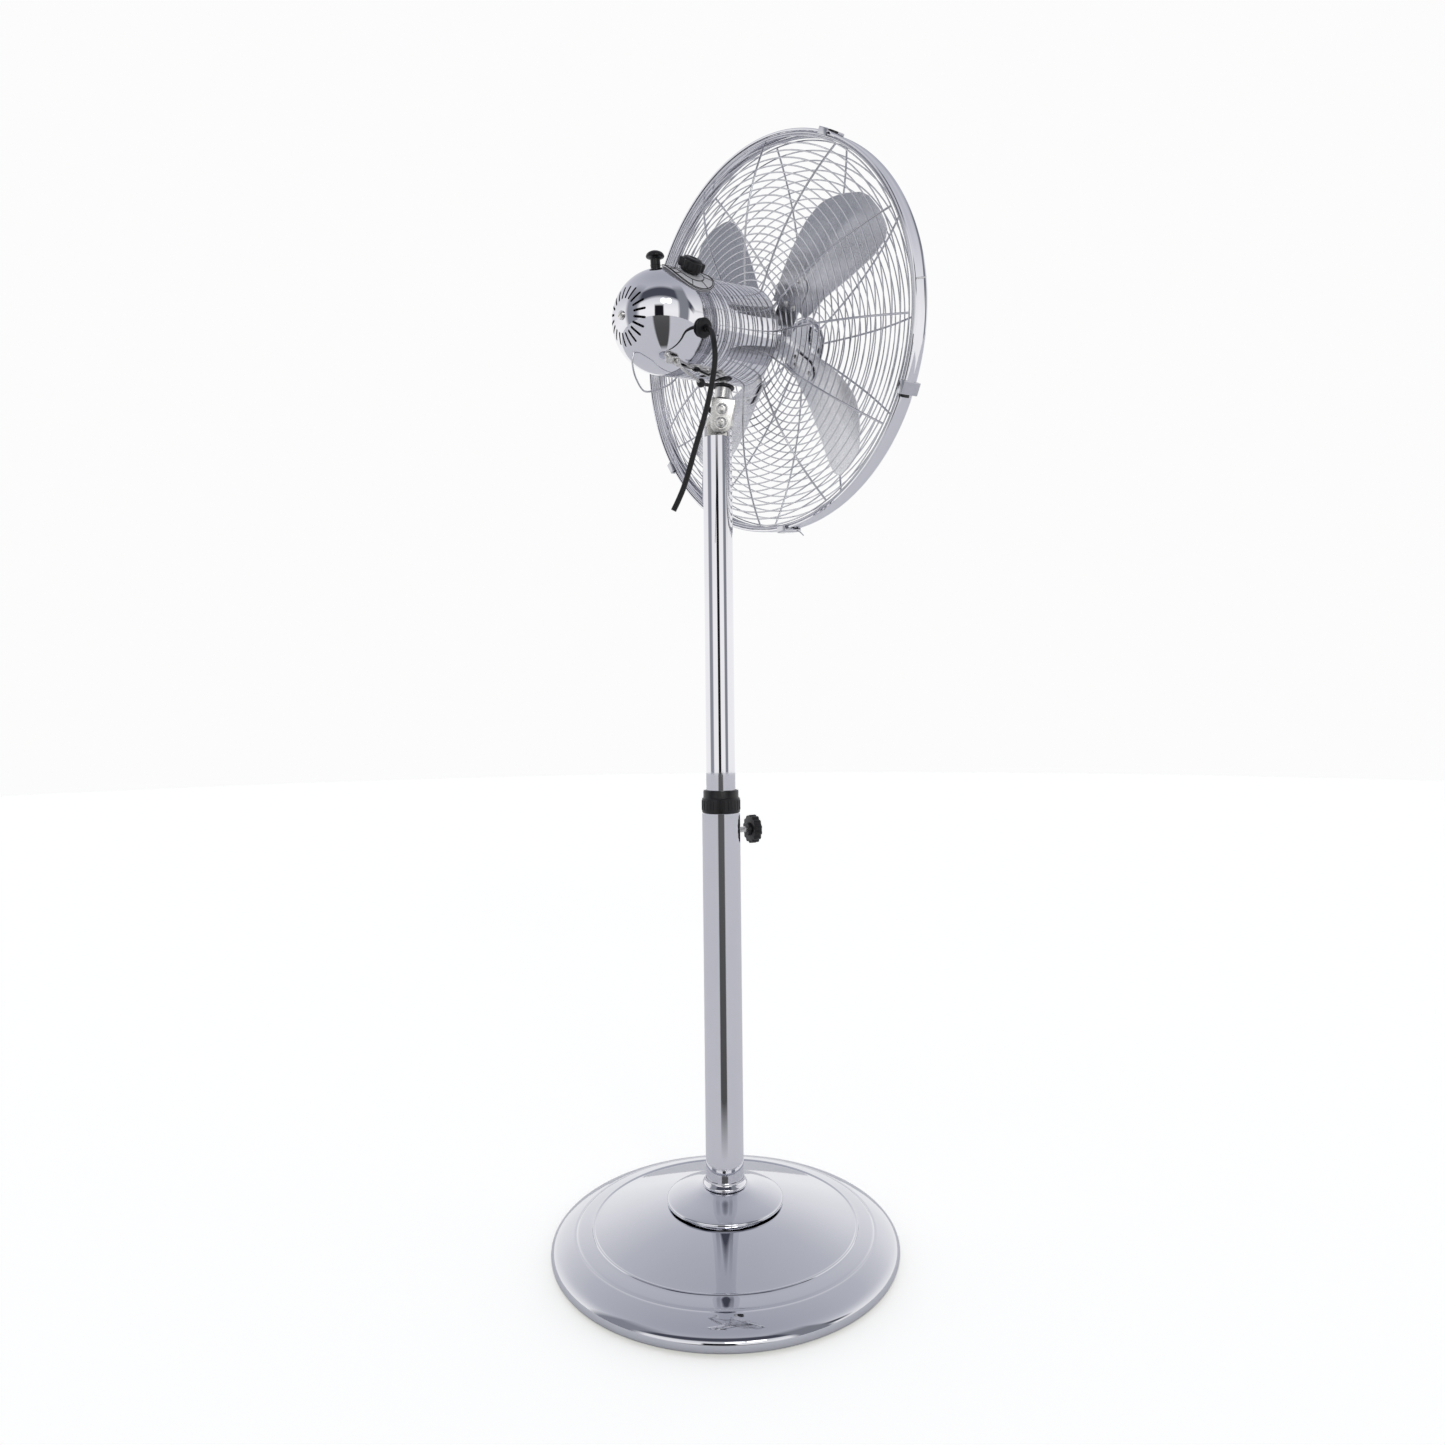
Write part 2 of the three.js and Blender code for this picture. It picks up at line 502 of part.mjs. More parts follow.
function buildGuard(group) {
  const { radius, wall, rear, front, ribs, ribAngle } = GUARD;
  add(group, 'rim_band', alongY(turned([
    [radius - wall, rear], [radius, rear], [radius, front], [radius - wall, front],
  ], 48)), chrome);
  const angles = Array.from({ length: ribs }, (_, i) => ribAngle + (i * 360) / ribs);
  const edge = radius - wall - 2.1;
  add(group, 'rear_grille', carve(alongY(ring(27, 50, -24.9, -22.5, 24)), {
    join: [hoop(102, rearProfile(102), 1, 24), hoop(157, rearProfile(157), 1, 24), hoop(edge, -55, 1.7, 48),
      ...angles.map((a) => rib(rearProfile, 46, edge, 1, a))],
  }), chrome);
  add(group, 'front_grille', carve(hoop(30, frontProfile(30), 1.4, 20), {
    join: [hoop(91, frontProfile(91), 1, 24), hoop(151, frontProfile(151), 1, 24), hoop(edge, -71, 1.7, 48),
      ...angles.map((a) => rib(frontProfile, 29, edge, 1, a))],
  }), chrome);
  add(group, 'front_badge', alongY(turned([
    [0, -123.6], [18, -123], [BADGE_RADIUS, -120.4], [BADGE_RADIUS, -119.4], [0, -119.4],
  ], 24)), chrome);
}

/** Sprung clip that hooks over both edges of the rim band. */
function clip() {
  const r = GUARD.radius;
  return plate([
    [r - 4.4, GUARD.rear + 3.4], [r + 2.6, GUARD.rear + 3.4], [r + 3, GUARD.front - 3.4],
    [r - 4.4, GUARD.front - 3.4], [r - 4.4, GUARD.front - 1.8], [r + 0.6, GUARD.front - 1.8],
    [r + 0.6, GUARD.rear + 1.4], [r - 4.4, GUARD.rear + 1.4],
  ], -6.5, 6.5);
}

function buildClips(groups) {
  for (const [name, angle] of Object.entries(CLIP_ANGLES)) {
    const a = angle * RAD;
    add(groups[name], `clip_${name}`, clip().applyMatrix4(new THREE.Matrix4().makeBasis(
      new THREE.Vector3(-Math.cos(a), 0, Math.sin(a)), new THREE.Vector3(0, 1, 0),
      new THREE.Vector3(-Math.sin(a), 0, -Math.cos(a)),
    )), satinSteel);
  }
}

// ---------------------------------------------------------------- blades
const BLADE_MID = -76; // fan-axis position of the blades, extrapolated to the axis

/** Blade edges as [radius, angle from the arm]; the first edge lies towards the motor. */
const REAR_EDGE = [[44, 26], [70, 18], [100, 13], [130, 9], [150, 5], [160, 2]];
const FRONT_EDGE = [[44, -26], [76, -24], [112, -26], [150, -27], [172, -26], [184, -23]];

function along(edge, u) {
  const t = u * (edge.length - 1);
  const i = Math.min(edge.length - 2, Math.floor(t));
  return [0, 1].map((k) => edge[i][k] + (edge[i + 1][k] - edge[i][k]) * (t - i));
}

/** Axial position of the blade surface at a radius and an angle from its arm, in degrees. */
function bladeY(rho, angle) {
  const arc = rho * (angle + 5) * RAD;
  return BLADE_MID + 0.04 * rho + arc * (0.62 - 0.0025 * rho) - 0.0008 * arc * arc;
}

function polar(rho, angle, y) {
  return [-rho * Math.cos(angle * RAD), y, rho * Math.sin(angle * RAD)];
}

function blade(base) {
  return sheet((u, v, side) => {
    const [ra, aa] = along(REAR_EDGE, u);
    const [rb, ab] = along(FRONT_EDGE, u);
    const rho = ra + (rb - ra) * v + 48 * v * (1 - v) * u ** 6;
    const angle = aa + (ab - aa) * v;
    return polar(rho, base + angle, bladeY(rho, angle) + (side ? -0.6 : 0.6));
  }, 6, 4);
}

function buildFan(group) {
  const arms = [];
  for (let i = 0; i < BLADES; i += 1) {
    const base = BLADE_ANGLE - i * (360 / BLADES);
    arms.push(sheet((u, v, side) => {
      const rho = 13 + 66 * u;
      const half = (u > 0.93 ? 7.5 : 11.5) / rho / RAD;
      const angle = (2 * v - 1) * Math.min(half, 38);
      return polar(rho, base + angle, bladeY(Math.max(rho, 30), angle) + (side ? 1.8 : 3.4));
    }, 4, 2));
    for (const rho of [50, 71]) {
      arms.push(alongY(turned([[0, 2.4], [3.2, 2.4], [3.2, 4.6], [0, 5.4]], 6))
        .translate(...polar(rho, base, bladeY(rho, 0))));
    }
    add(group, `blade_${i + 1}`, blade(base), aluminium);
  }
  add(group, 'blade_spider', carve(alongY(ring(4.3, 17, -82, -60, 20)), { join: arms }), aluminium);
  add(group, 'hub_nut', alongY(turned([
    [5, -88], [8.4, -88], [8.4, -82.4], [5, -82.4],
  ], 6)), satinSteel);
  add(group, 'motor_shaft', alongY(disc(4, -91, 84, 12)), darkSteel);
  add(group, 'motor_rotor', alongY(ring(4.3, 24.6, -8, 30, 24)), darkSteel);
  add(group, 'worm', alongY(ring(4.3, 6.4, 60, 82, 14)), brass);
}

function buildWormWheel(group) {
  add(group, 'worm_wheel', plate(lobed(9.7, 24, 0.9, 48), -5, 5).translate(16.4, 71, 0), nylon);
}

// ---------------------------------------------------------------- scene graph
const fan = new THREE.Group();
const child = (parent) => {
  const group = new THREE.Group();
  parent.add(group);
  return group;
};

const base = child(fan);
buildBase(base);
buildHeightKnob(child(base));

const pole = child(fan);
buildUpperPole(pole);

const neck = child(pole);
neck.position.copy(TILT_PIVOT);
neck.rotation.x = NECK_LEAN * RAD;
buildNeck(neck);
buildTiltLever(child(neck));

const swivel = child(neck);
swivel.position.set(0, NECK_BACK, 0);
swivel.rotation.z = SWING * RAD;

const head = child(swivel);
head.position.set(0, 0, MOTOR_HEIGHT);
head.rotation.x = -MOTOR_RAISE * RAD;
buildShell(head);
buildMotor(head);
buildControls(head, child(head), child(head));
buildCord(head);
buildHook(head);
buildCrank(child(head));
buildLinkRod(child(head));
buildGuard(head);
buildClips({ top: child(head), side: child(head), bottom: child(head), far: child(head) });
buildFan(child(head));
buildWormWheel(child(head));

export default fan;
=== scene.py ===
"""Pedestal fan: chrome stand, tilting neck, oscillating head, metal blades in a wire guard."""
import logging
import math
from dataclasses import dataclass, field
from enum import Enum
from typing import Callable, Iterable, Sequence

import bmesh
import bpy
from mathutils import Matrix, Vector


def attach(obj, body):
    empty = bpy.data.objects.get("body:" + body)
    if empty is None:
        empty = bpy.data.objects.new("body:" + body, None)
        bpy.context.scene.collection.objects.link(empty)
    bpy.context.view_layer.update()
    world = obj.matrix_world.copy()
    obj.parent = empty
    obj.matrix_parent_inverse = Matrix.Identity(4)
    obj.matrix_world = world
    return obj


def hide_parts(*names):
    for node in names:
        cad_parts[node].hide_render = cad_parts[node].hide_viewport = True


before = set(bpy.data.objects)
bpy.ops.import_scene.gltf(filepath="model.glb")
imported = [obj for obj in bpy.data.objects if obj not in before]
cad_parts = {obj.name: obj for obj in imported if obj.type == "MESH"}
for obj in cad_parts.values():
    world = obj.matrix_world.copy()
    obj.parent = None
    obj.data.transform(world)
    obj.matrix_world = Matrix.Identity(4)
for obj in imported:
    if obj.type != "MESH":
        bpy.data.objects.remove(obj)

LOG = logging.getLogger("fan")
MM = 0.001
Point = Sequence[float]
Profile = Sequence[tuple[float, float]]


# ------------------------------------------------------------------ places on the fan
def turn(axis: str, degrees: float) -> Matrix:
    """A rotation about X, Y or Z."""
    return Matrix.Rotation(math.radians(degrees), 4, axis)


def shift(x: float, y: float, z: float) -> Matrix:
    """A move given in millimetres, in a frame that is also in millimetres."""
    return Matrix.Translation((x, y, z))


class Place(Enum):
    """The frames that sub-assemblies are drawn in, from millimetres to the row frame."""

    ROW = Matrix.Scale(MM, 4)
    TILT = ROW @ shift(0, -5.5, 935) @ turn("X", 7)
    NECK = TILT @ shift(0, 1.5, 0)
    HEAD = NECK @ turn("Z", 42.04) @ shift(0, 0, 86.8) @ turn("X", -11.63)


ALONG_Y = turn("X", -90)


def flank(angle: float, y: float) -> Matrix:
    """A place on the side of the motor housing whose Z points away from the motor axis.

    Args:
        angle: degrees from the -X side towards the top.
        y: millimetres along the motor axis.

    Returns:
        The place in the head's frame.
    """
    a = math.radians(angle)
    out = Vector((-math.cos(a), 0, math.sin(a)))
    along = Vector((0, 1, 0))
    side = along.cross(out)
    return shift(0, y, 0) @ Matrix((side, along, out)).transposed().to_4x4()


# ------------------------------------------------------------------ finishes
def linear(code: str) -> tuple[float, float, float, float]:
    """An sRGB hex colour as linear RGBA."""
    parts = [int(code[i:i + 2], 16) / 255 for i in (0, 2, 4)]
    return (*(c / 12.92 if c <= 0.04045 else ((c + 0.055) / 1.055) ** 2.4 for c in parts), 1.0)


def add_node(tree: bpy.types.NodeTree, kind: str, inputs: dict | None = None,
             **settings) -> bpy.types.Node:
    """Adds a node.

    Args:
        tree: the tree it goes into.
        kind: the node's type.
        inputs: input name or number to a value, or to the output socket that feeds it.
        **settings: the node's own properties.

    Returns:
        The new node.
    """
    node = tree.nodes.new(kind)
    for key, value in settings.items():
        setattr(node, key, value)
    for key, value in (inputs or {}).items():
        if isinstance(value, bpy.types.NodeSocket):
            tree.links.new(value, node.inputs[key])
        else:
            node.inputs[key].default_value = value
    return node


@dataclass(frozen=True)
class Finish:
    """A surface: plain numbers for the shader, and a fine pattern with a real size.

    The grain is the spacing of the surface's marks in millimetres, and stretch draws the marks
    out along Z, as brushing does. Smear is how far the roughness wanders from its middle value.
    """

    name: str
    slot: str
    colour: str
    dark: str
    metallic: float
    roughness: float
    smear: float
    grain: float
    bump: float
    stretch: float = 1.0
    patch: float = 60.0
    coat: float = 0.0

    def build(self) -> bpy.types.Material:
        """Makes the material, or returns it if it is already made."""
        made = bpy.data.materials.get(self.name)
        if made:
            return made
        mat = bpy.data.materials.new(self.name)
        mat.use_nodes = True
        tree = mat.node_tree
        tree.nodes.clear()
        place = add_node(tree, "ShaderNodeTexCoord").outputs["Object"]
        fine = add_node(tree, "ShaderNodeMapping",
                        {"Vector": place, "Scale": (1, 1, 1 / self.stretch)})
        marks = add_node(tree, "ShaderNodeTexNoise", {
            "Vector": fine.outputs[0], "Scale": 1000 / self.grain, "Detail": 3.0, "Roughness": 0.6})
        broad = add_node(tree, "ShaderNodeTexNoise", {
            "Vector": place, "Scale": 1000 / self.patch, "Detail": 4.0, "Roughness": 0.55})
        both = add_node(tree, "ShaderNodeMath", {0: marks.outputs[0], 1: broad.outputs[0]},
                        operation="MULTIPLY")
        rough = add_node(tree, "ShaderNodeMapRange", {
            "Value": both.outputs[0], "From Min": 0.12, "From Max": 0.42,
            "To Min": max(0.015, self.roughness - self.smear),
            "To Max": self.roughness + self.smear})
        tint = add_node(tree, "ShaderNodeMix", {
            0: broad.outputs[0], 6: linear(self.colour), 7: linear(self.dark)}, data_type="RGBA")
        relief = add_node(tree, "ShaderNodeBump", {
            "Height": marks.outputs[0], "Strength": self.bump, "Distance": 0.0002})
        shader = add_node(tree, "ShaderNodeBsdfPrincipled", {
            "Base Color": tint.outputs[2], "Metallic": self.metallic, "Roughness": rough.outputs[0],
            "Normal": relief.outputs[0], "Coat Weight": self.coat, "Coat Roughness": 0.08})
        add_node(tree, "ShaderNodeOutputMaterial", {"Surface": shader.outputs[0]})
        return mat


# Bright nickel-chrome plate: a mirror, a little blue, with faint polishing smears.
CHROME = Finish("bright_chrome_plate", "chrome", "F0F0F3", "E6E6EB", 1.0, 0.03, 0.015, 2.2, 0.006,
                patch=90)
# The large spun base is polished less evenly than the tubes.
SPUN_CHROME = Finish("spun_chrome_plate", "chrome", "E4E5EA", "D9DADF", 1.0, 0.04, 0.02, 3.0, 0.008,
                     patch=140)
# Drawn wire under the same plate: duller where the plate is thin.
WIRE_CHROME = Finish("plated_drawn_wire", "chrome", "E2E2E6", "BFC0C6", 1.0, 0.12, 0.05, 1.4, 0.03,
                     patch=24)
# Nickel plate over a bead-blasted casting: soft and almost white.
SATIN_NICKEL = Finish("satin_nickel_plate", "satin_steel", "EFEEEA", "E0DFDB", 1.0, 0.3, 0.08, 0.6,
                      0.08, patch=12)
# Rolled aluminium sheet: long fine rolling lines.
ROLLED_ALUMINIUM = Finish("rolled_aluminium", "aluminium", "EEEEF1", "DCDDE1", 1.0, 0.26, 0.07, 0.7,
                          0.05, stretch=30, patch=45)
# Moulded black ABS: fine spark grain and a slight sheen where hands polish it.
BLACK_ABS = Finish("moulded_black_abs", "black_plastic", "0B0B0D", "121214", 0.0, 0.38, 0.1, 0.35,
                   0.12, patch=9)
# Soft PVC of the lead and grommet.
BLACK_PVC = Finish("soft_black_pvc", "black_rubber", "08080A", "101012", 0.0, 0.46, 0.08, 0.5, 0.08,
                   patch=14)
# Rubber foot pad: matte, slightly greyed by dust.
PAD_RUBBER = Finish("pad_rubber", "black_rubber", "141415", "232324", 0.0, 0.8, 0.1, 0.8, 0.2,
                    patch=30)
DARK_STEEL = Finish("oiled_steel", "dark_steel", "7E7F84", "5F6066", 1.0, 0.38, 0.1, 0.9, 0.1,
                    patch=20)
CAST_IRON = Finish("sand_cast_iron", "cast_iron", "3B3B3E", "29292B", 0.7, 0.7, 0.1, 1.2, 0.5,
                   patch=25)
COPPER = Finish("enamelled_copper_wire", "copper", "B5652E", "8A431B", 1.0, 0.3, 0.08, 0.7, 0.4,
                stretch=0.1, patch=8)
BRONZE = Finish("sintered_bronze", "brass", "B08D45", "8E6E33", 1.0, 0.42, 0.08, 0.3, 0.2, patch=6)
NYLON = Finish("moulded_nylon", "nylon", "E8E4D6", "DAD5C5", 0.0, 0.45, 0.06, 0.5, 0.06, patch=12)
DIAL_PLATE = Finish("lacquered_dial_plate", "dial", "F6F6F7", "ECECEF", 0.0, 0.25, 0.05, 0.8, 0.02,
                    patch=14, coat=0.4)
DIAL_INK = Finish("printed_black_ink", "black_plastic", "09090B", "131316", 0.0, 0.5, 0.05, 0.4,
                  0.05, patch=8)


# ------------------------------------------------------------------ meshes
def smooth_line(points: Profile | Sequence[Point], steps: int) -> list[Vector]:
    """Points on a smooth curve through the given ones, in two or three dimensions."""
    p = [Vector(q) for q in points]
    ends = [p[0] * 2 - p[1], *p, p[-1] * 2 - p[-2]]
    line = []
    for a, b, c, d in zip(ends, ends[1:], ends[2:], ends[3:]):
        for i in range(steps):
            t = i / steps
            line.append(0.5 * (2 * b + (c - a) * t + (2 * a - 5 * b + 4 * c - d) * t * t
                               + (3 * b - a - 3 * c + d) * t ** 3))
    return [*line, p[-1]]


def make_object(name: str, verts: Iterable[Point], faces: Iterable[Sequence[int]], place: Matrix,
                crease: float = 32.0) -> bpy.types.Object:
    """Makes a smooth-shaded mesh with sharp creases.

    Args:
        name: the piece's name.
        verts: corners, in the frame that place turns into the row frame.
        faces: corner numbers of each face.
        place: from the drawing frame to the row frame.
        crease: edges that bend more than this many degrees stay sharp.

    Returns:
        The object, at the origin, with its place in its mesh.
    """
    mesh = bpy.data.meshes.new(name)
    mesh.from_pydata([place @ Vector(v) for v in verts], [], [list(f) for f in faces])
    return make_from_mesh(name, mesh, crease)


def make_from_mesh(name: str, mesh: bpy.types.Mesh, crease: float = 32.0) -> bpy.types.Object:
    """Merges doubles, faces outwards, shades smooth with sharp creases, and links an object."""
    work = bmesh.new()
    work.from_mesh(mesh)
    bmesh.ops.remove_doubles(work, verts=work.verts, dist=1e-7)
    bmesh.ops.dissolve_degenerate(work, edges=work.edges, dist=1e-8)
    bmesh.ops.recalc_face_normals(work, faces=work.faces)
    work.to_mesh(mesh)
    work.free()
    mesh.polygons.foreach_set("use_smooth", [True] * len(mesh.polygons))
    mesh.set_sharp_from_angle(angle=math.radians(crease))
    mesh.name = name
    thing = bpy.data.objects.new(name, mesh)
    bpy.context.scene.collection.objects.link(thing)
    return thing


def revolve(name: str, profile: Profile, place: Matrix, segments: int = 96,
            crease: float = 32.0) -> bpy.types.Object:
    """Turns [radius, height] points about Z; the profile closes or ends on the axis twice."""
    count = len(profile)
    verts = [(r * math.cos(a), r * math.sin(a), z)
             for a in (2 * math.pi * i / segments for i in range(segments)) for r, z in profile]
    on_axis = profile[0][0] == 0 and profile[-1][0] == 0
    rows = count - 1 if on_axis else count
    faces = []
    for i in range(segments):
        j = (i + 1) % segments
        for k in range(rows):
            m = (k + 1) % count
            faces.append((i * count + k, j * count + k, j * count + m, i * count + m))
    return make_object(name, verts, faces, place, crease)


def sweep(name: str, line: Sequence[Point], radius: float, place: Matrix, sides: int = 12,
          loop: bool = False, flat: float = 1.0) -> bpy.types.Object:
    """A round or flattened wire along a line of points, closed at its ends or joined in a loop."""
    p = [Vector(q) for q in line]
    n = len(p)
    normal = (p[1] - p[0]).orthogonal().normalized()
    verts, faces = [], []
    for i in range(n):
        ahead = p[(i + 1) % n] if loop else p[min(i + 1, n - 1)]
        behind = p[i - 1] if loop else p[max(i - 1, 0)]
        tangent = (ahead - behind).normalized()
        normal = (normal - tangent * normal.dot(tangent)).normalized()
        side = tangent.cross(normal)
        for k in range(sides):
            a = 2 * math.pi * k / sides
            verts.append(p[i] + radius * (math.cos(a) * normal + flat * math.sin(a) * side))
    for i in range(n if loop else n - 1):
        j = (i + 1) % n
        for k in range(sides):
            m = (k + 1) % sides
            faces.append((i * sides + k, j * sides + k, j * sides + m, i * sides + m))
    if not loop:
        faces += [tuple(range(sides)), tuple(range((n - 1) * sides, n * sides))]
    return make_object(name, verts, faces, place, 40)


def prism(name: str, outline: Profile, low: float, high: float, place: Matrix,
          bevel: float = 0.3) -> bpy.types.Object:
    """A plate cut to an outline, with rounded edges.

    Args:
        name: the piece's name.
        outline: corners in millimetres, in order.
        low: lower face along Z.
        high: upper face along Z.
        place: from the drawing frame to the row frame.
        bevel: radius of the rounded edges in millimetres.

    Returns:
        The finished piece.
    """
    n = len(outline)
    verts = [(u, v, w) for w in (low, high) for u, v in outline]
    faces = [tuple(range(n)), tuple(range(n, 2 * n))]
    faces += [(i, (i + 1) % n, n + (i + 1) % n, n + i) for i in range(n)]
    thing = make_object(name, verts, faces, place)
    if bevel:
        edge = thing.modifiers.new("rounded", "BEVEL")
        edge.width, edge.segments = bevel * MM, 3
        edge.limit_method, edge.angle_limit = "ANGLE", math.radians(40)
        bake_modifiers(thing)
    return thing


def bake_modifiers(thing: bpy.types.Object, crease: float = 32.0) -> bpy.types.Object:
    """Turns a piece's modifiers into plain mesh."""
    bpy.context.view_layer.update()
    graph = bpy.context.evaluated_depsgraph_get()
    mesh = bpy.data.meshes.new_from_object(thing.evaluated_get(graph), depsgraph=graph)
    thing.modifiers.clear()
    thing.data = mesh
    mesh.polygons.foreach_set("use_smooth", [True] * len(mesh.polygons))
    mesh.set_sharp_from_angle(angle=math.radians(crease))
    return thing


def join(name: str, parts: Sequence[bpy.types.Object], crease: float = 32.0) -> bpy.types.Object:
    """Makes one piece of several that don't need to be welded."""
    work = bmesh.new()
    for part in parts:
        work.from_mesh(part.data)
        bpy.data.objects.remove(part)
    mesh = bpy.data.meshes.new(name)
    work.to_mesh(mesh)
    work.free()
    mesh.polygons.foreach_set("use_smooth", [True] * len(mesh.polygons))
    mesh.set_sharp_from_angle(angle=math.radians(crease))
    thing = bpy.data.objects.new(name, mesh)
    bpy.context.scene.collection.objects.link(thing)
    return thing


def cut(target: bpy.types.Object, cutter: bpy.types.Object) -> bpy.types.Object:
    """Takes one closed mesh away from another."""
    knife = target.modifiers.new("cut", "BOOLEAN")
    knife.operation, knife.solver, knife.object = "DIFFERENCE", "EXACT", cutter
    bake_modifiers(target)
    bpy.data.objects.remove(cutter)
    return target


def dress(thing: bpy.types.Object, finish: Finish, body: str, *nodes: str) -> bpy.types.Object:
    """Gives a piece its finish, its body and the CAD nodes that it stands for."""
    thing.data.materials.clear()
    thing.data.materials.append(finish.build())
    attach(thing, body)
    if nodes:
        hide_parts(*nodes)
    LOG.info("%s on %s, %s", thing.name, body, finish.name)
    return thing


# ------------------------------------------------------------------ repeated things
class Repeater:
    """Copies one small mesh to many places with a node tree, and gives back one plain mesh."""

    def __init__(self) -> None:
        """Builds the tree: points in, an item on each one, turned by the points' own turn."""
        tree = bpy.data.node_groups.new("repeat_item", "GeometryNodeTree")
        tree.interface.new_socket("Points", in_out="INPUT", socket_type="NodeSocketGeometry")
        self.item = tree.interface.new_socket("Item", in_out="INPUT",
                                              socket_type="NodeSocketObject").identifier
        self.size = tree.interface.new_socket("Size", in_out="INPUT",
                                              socket_type="NodeSocketFloat").identifier
        self.finish = tree.interface.new_socket("Finish", in_out="INPUT",
                                                socket_type="NodeSocketMaterial").identifier
        tree.interface.new_socket("Result", in_out="OUTPUT", socket_type="NodeSocketGeometry")
        given = add_node(tree, "NodeGroupInput")
        facing = add_node(tree, "GeometryNodeInputNamedAttribute", {"Name": "turn"},
                          data_type="QUATERNION")
        source = add_node(tree, "GeometryNodeObjectInfo", {"Object": given.outputs["Item"]})
        spread = add_node(tree, "GeometryNodeInstanceOnPoints", {
            "Points": given.outputs["Points"], "Instance": source.outputs["Geometry"],
            "Rotation": facing.outputs["Attribute"], "Scale": given.outputs["Size"]})
        whole = add_node(tree, "GeometryNodeRealizeInstances", {"Geometry": spread.outputs[0]})
        painted = add_node(tree, "GeometryNodeSetMaterial", {
            "Geometry": whole.outputs[0], "Material": given.outputs["Finish"]})
        add_node(tree, "NodeGroupOutput", {"Result": painted.outputs[0]})
        self.tree = tree

    def spread(self, name: str, item: bpy.types.Object, places: Sequence[Matrix],
               finish: Finish) -> bpy.types.Object:
        """Puts the item, drawn at the origin in metres, at each place, and removes the item.

        Args:
            name: the piece's name.
            item: the mesh to repeat.
            places: one matrix for each copy, in the row frame.
            finish: what the copies are made of.

        Returns:
            One piece holding all the copies.
        """
        mesh = bpy.data.meshes.new(name)
        mesh.from_pydata([m.to_translation() for m in places], [], [])
        turns = mesh.attributes.new("turn", "QUATERNION", "POINT")
        for value, m in zip(turns.data, places):
            value.value = m.to_3x3().normalized().to_quaternion()
        thing = bpy.data.objects.new(name, mesh)
        bpy.context.scene.collection.objects.link(thing)
        mod = thing.modifiers.new("repeat", "NODES")
        mod.node_group = self.tree
        mod[self.item], mod[self.size], mod[self.finish] = item, 1.0, finish.build()
        bake_modifiers(thing)
        bpy.data.objects.remove(item)
        return thing


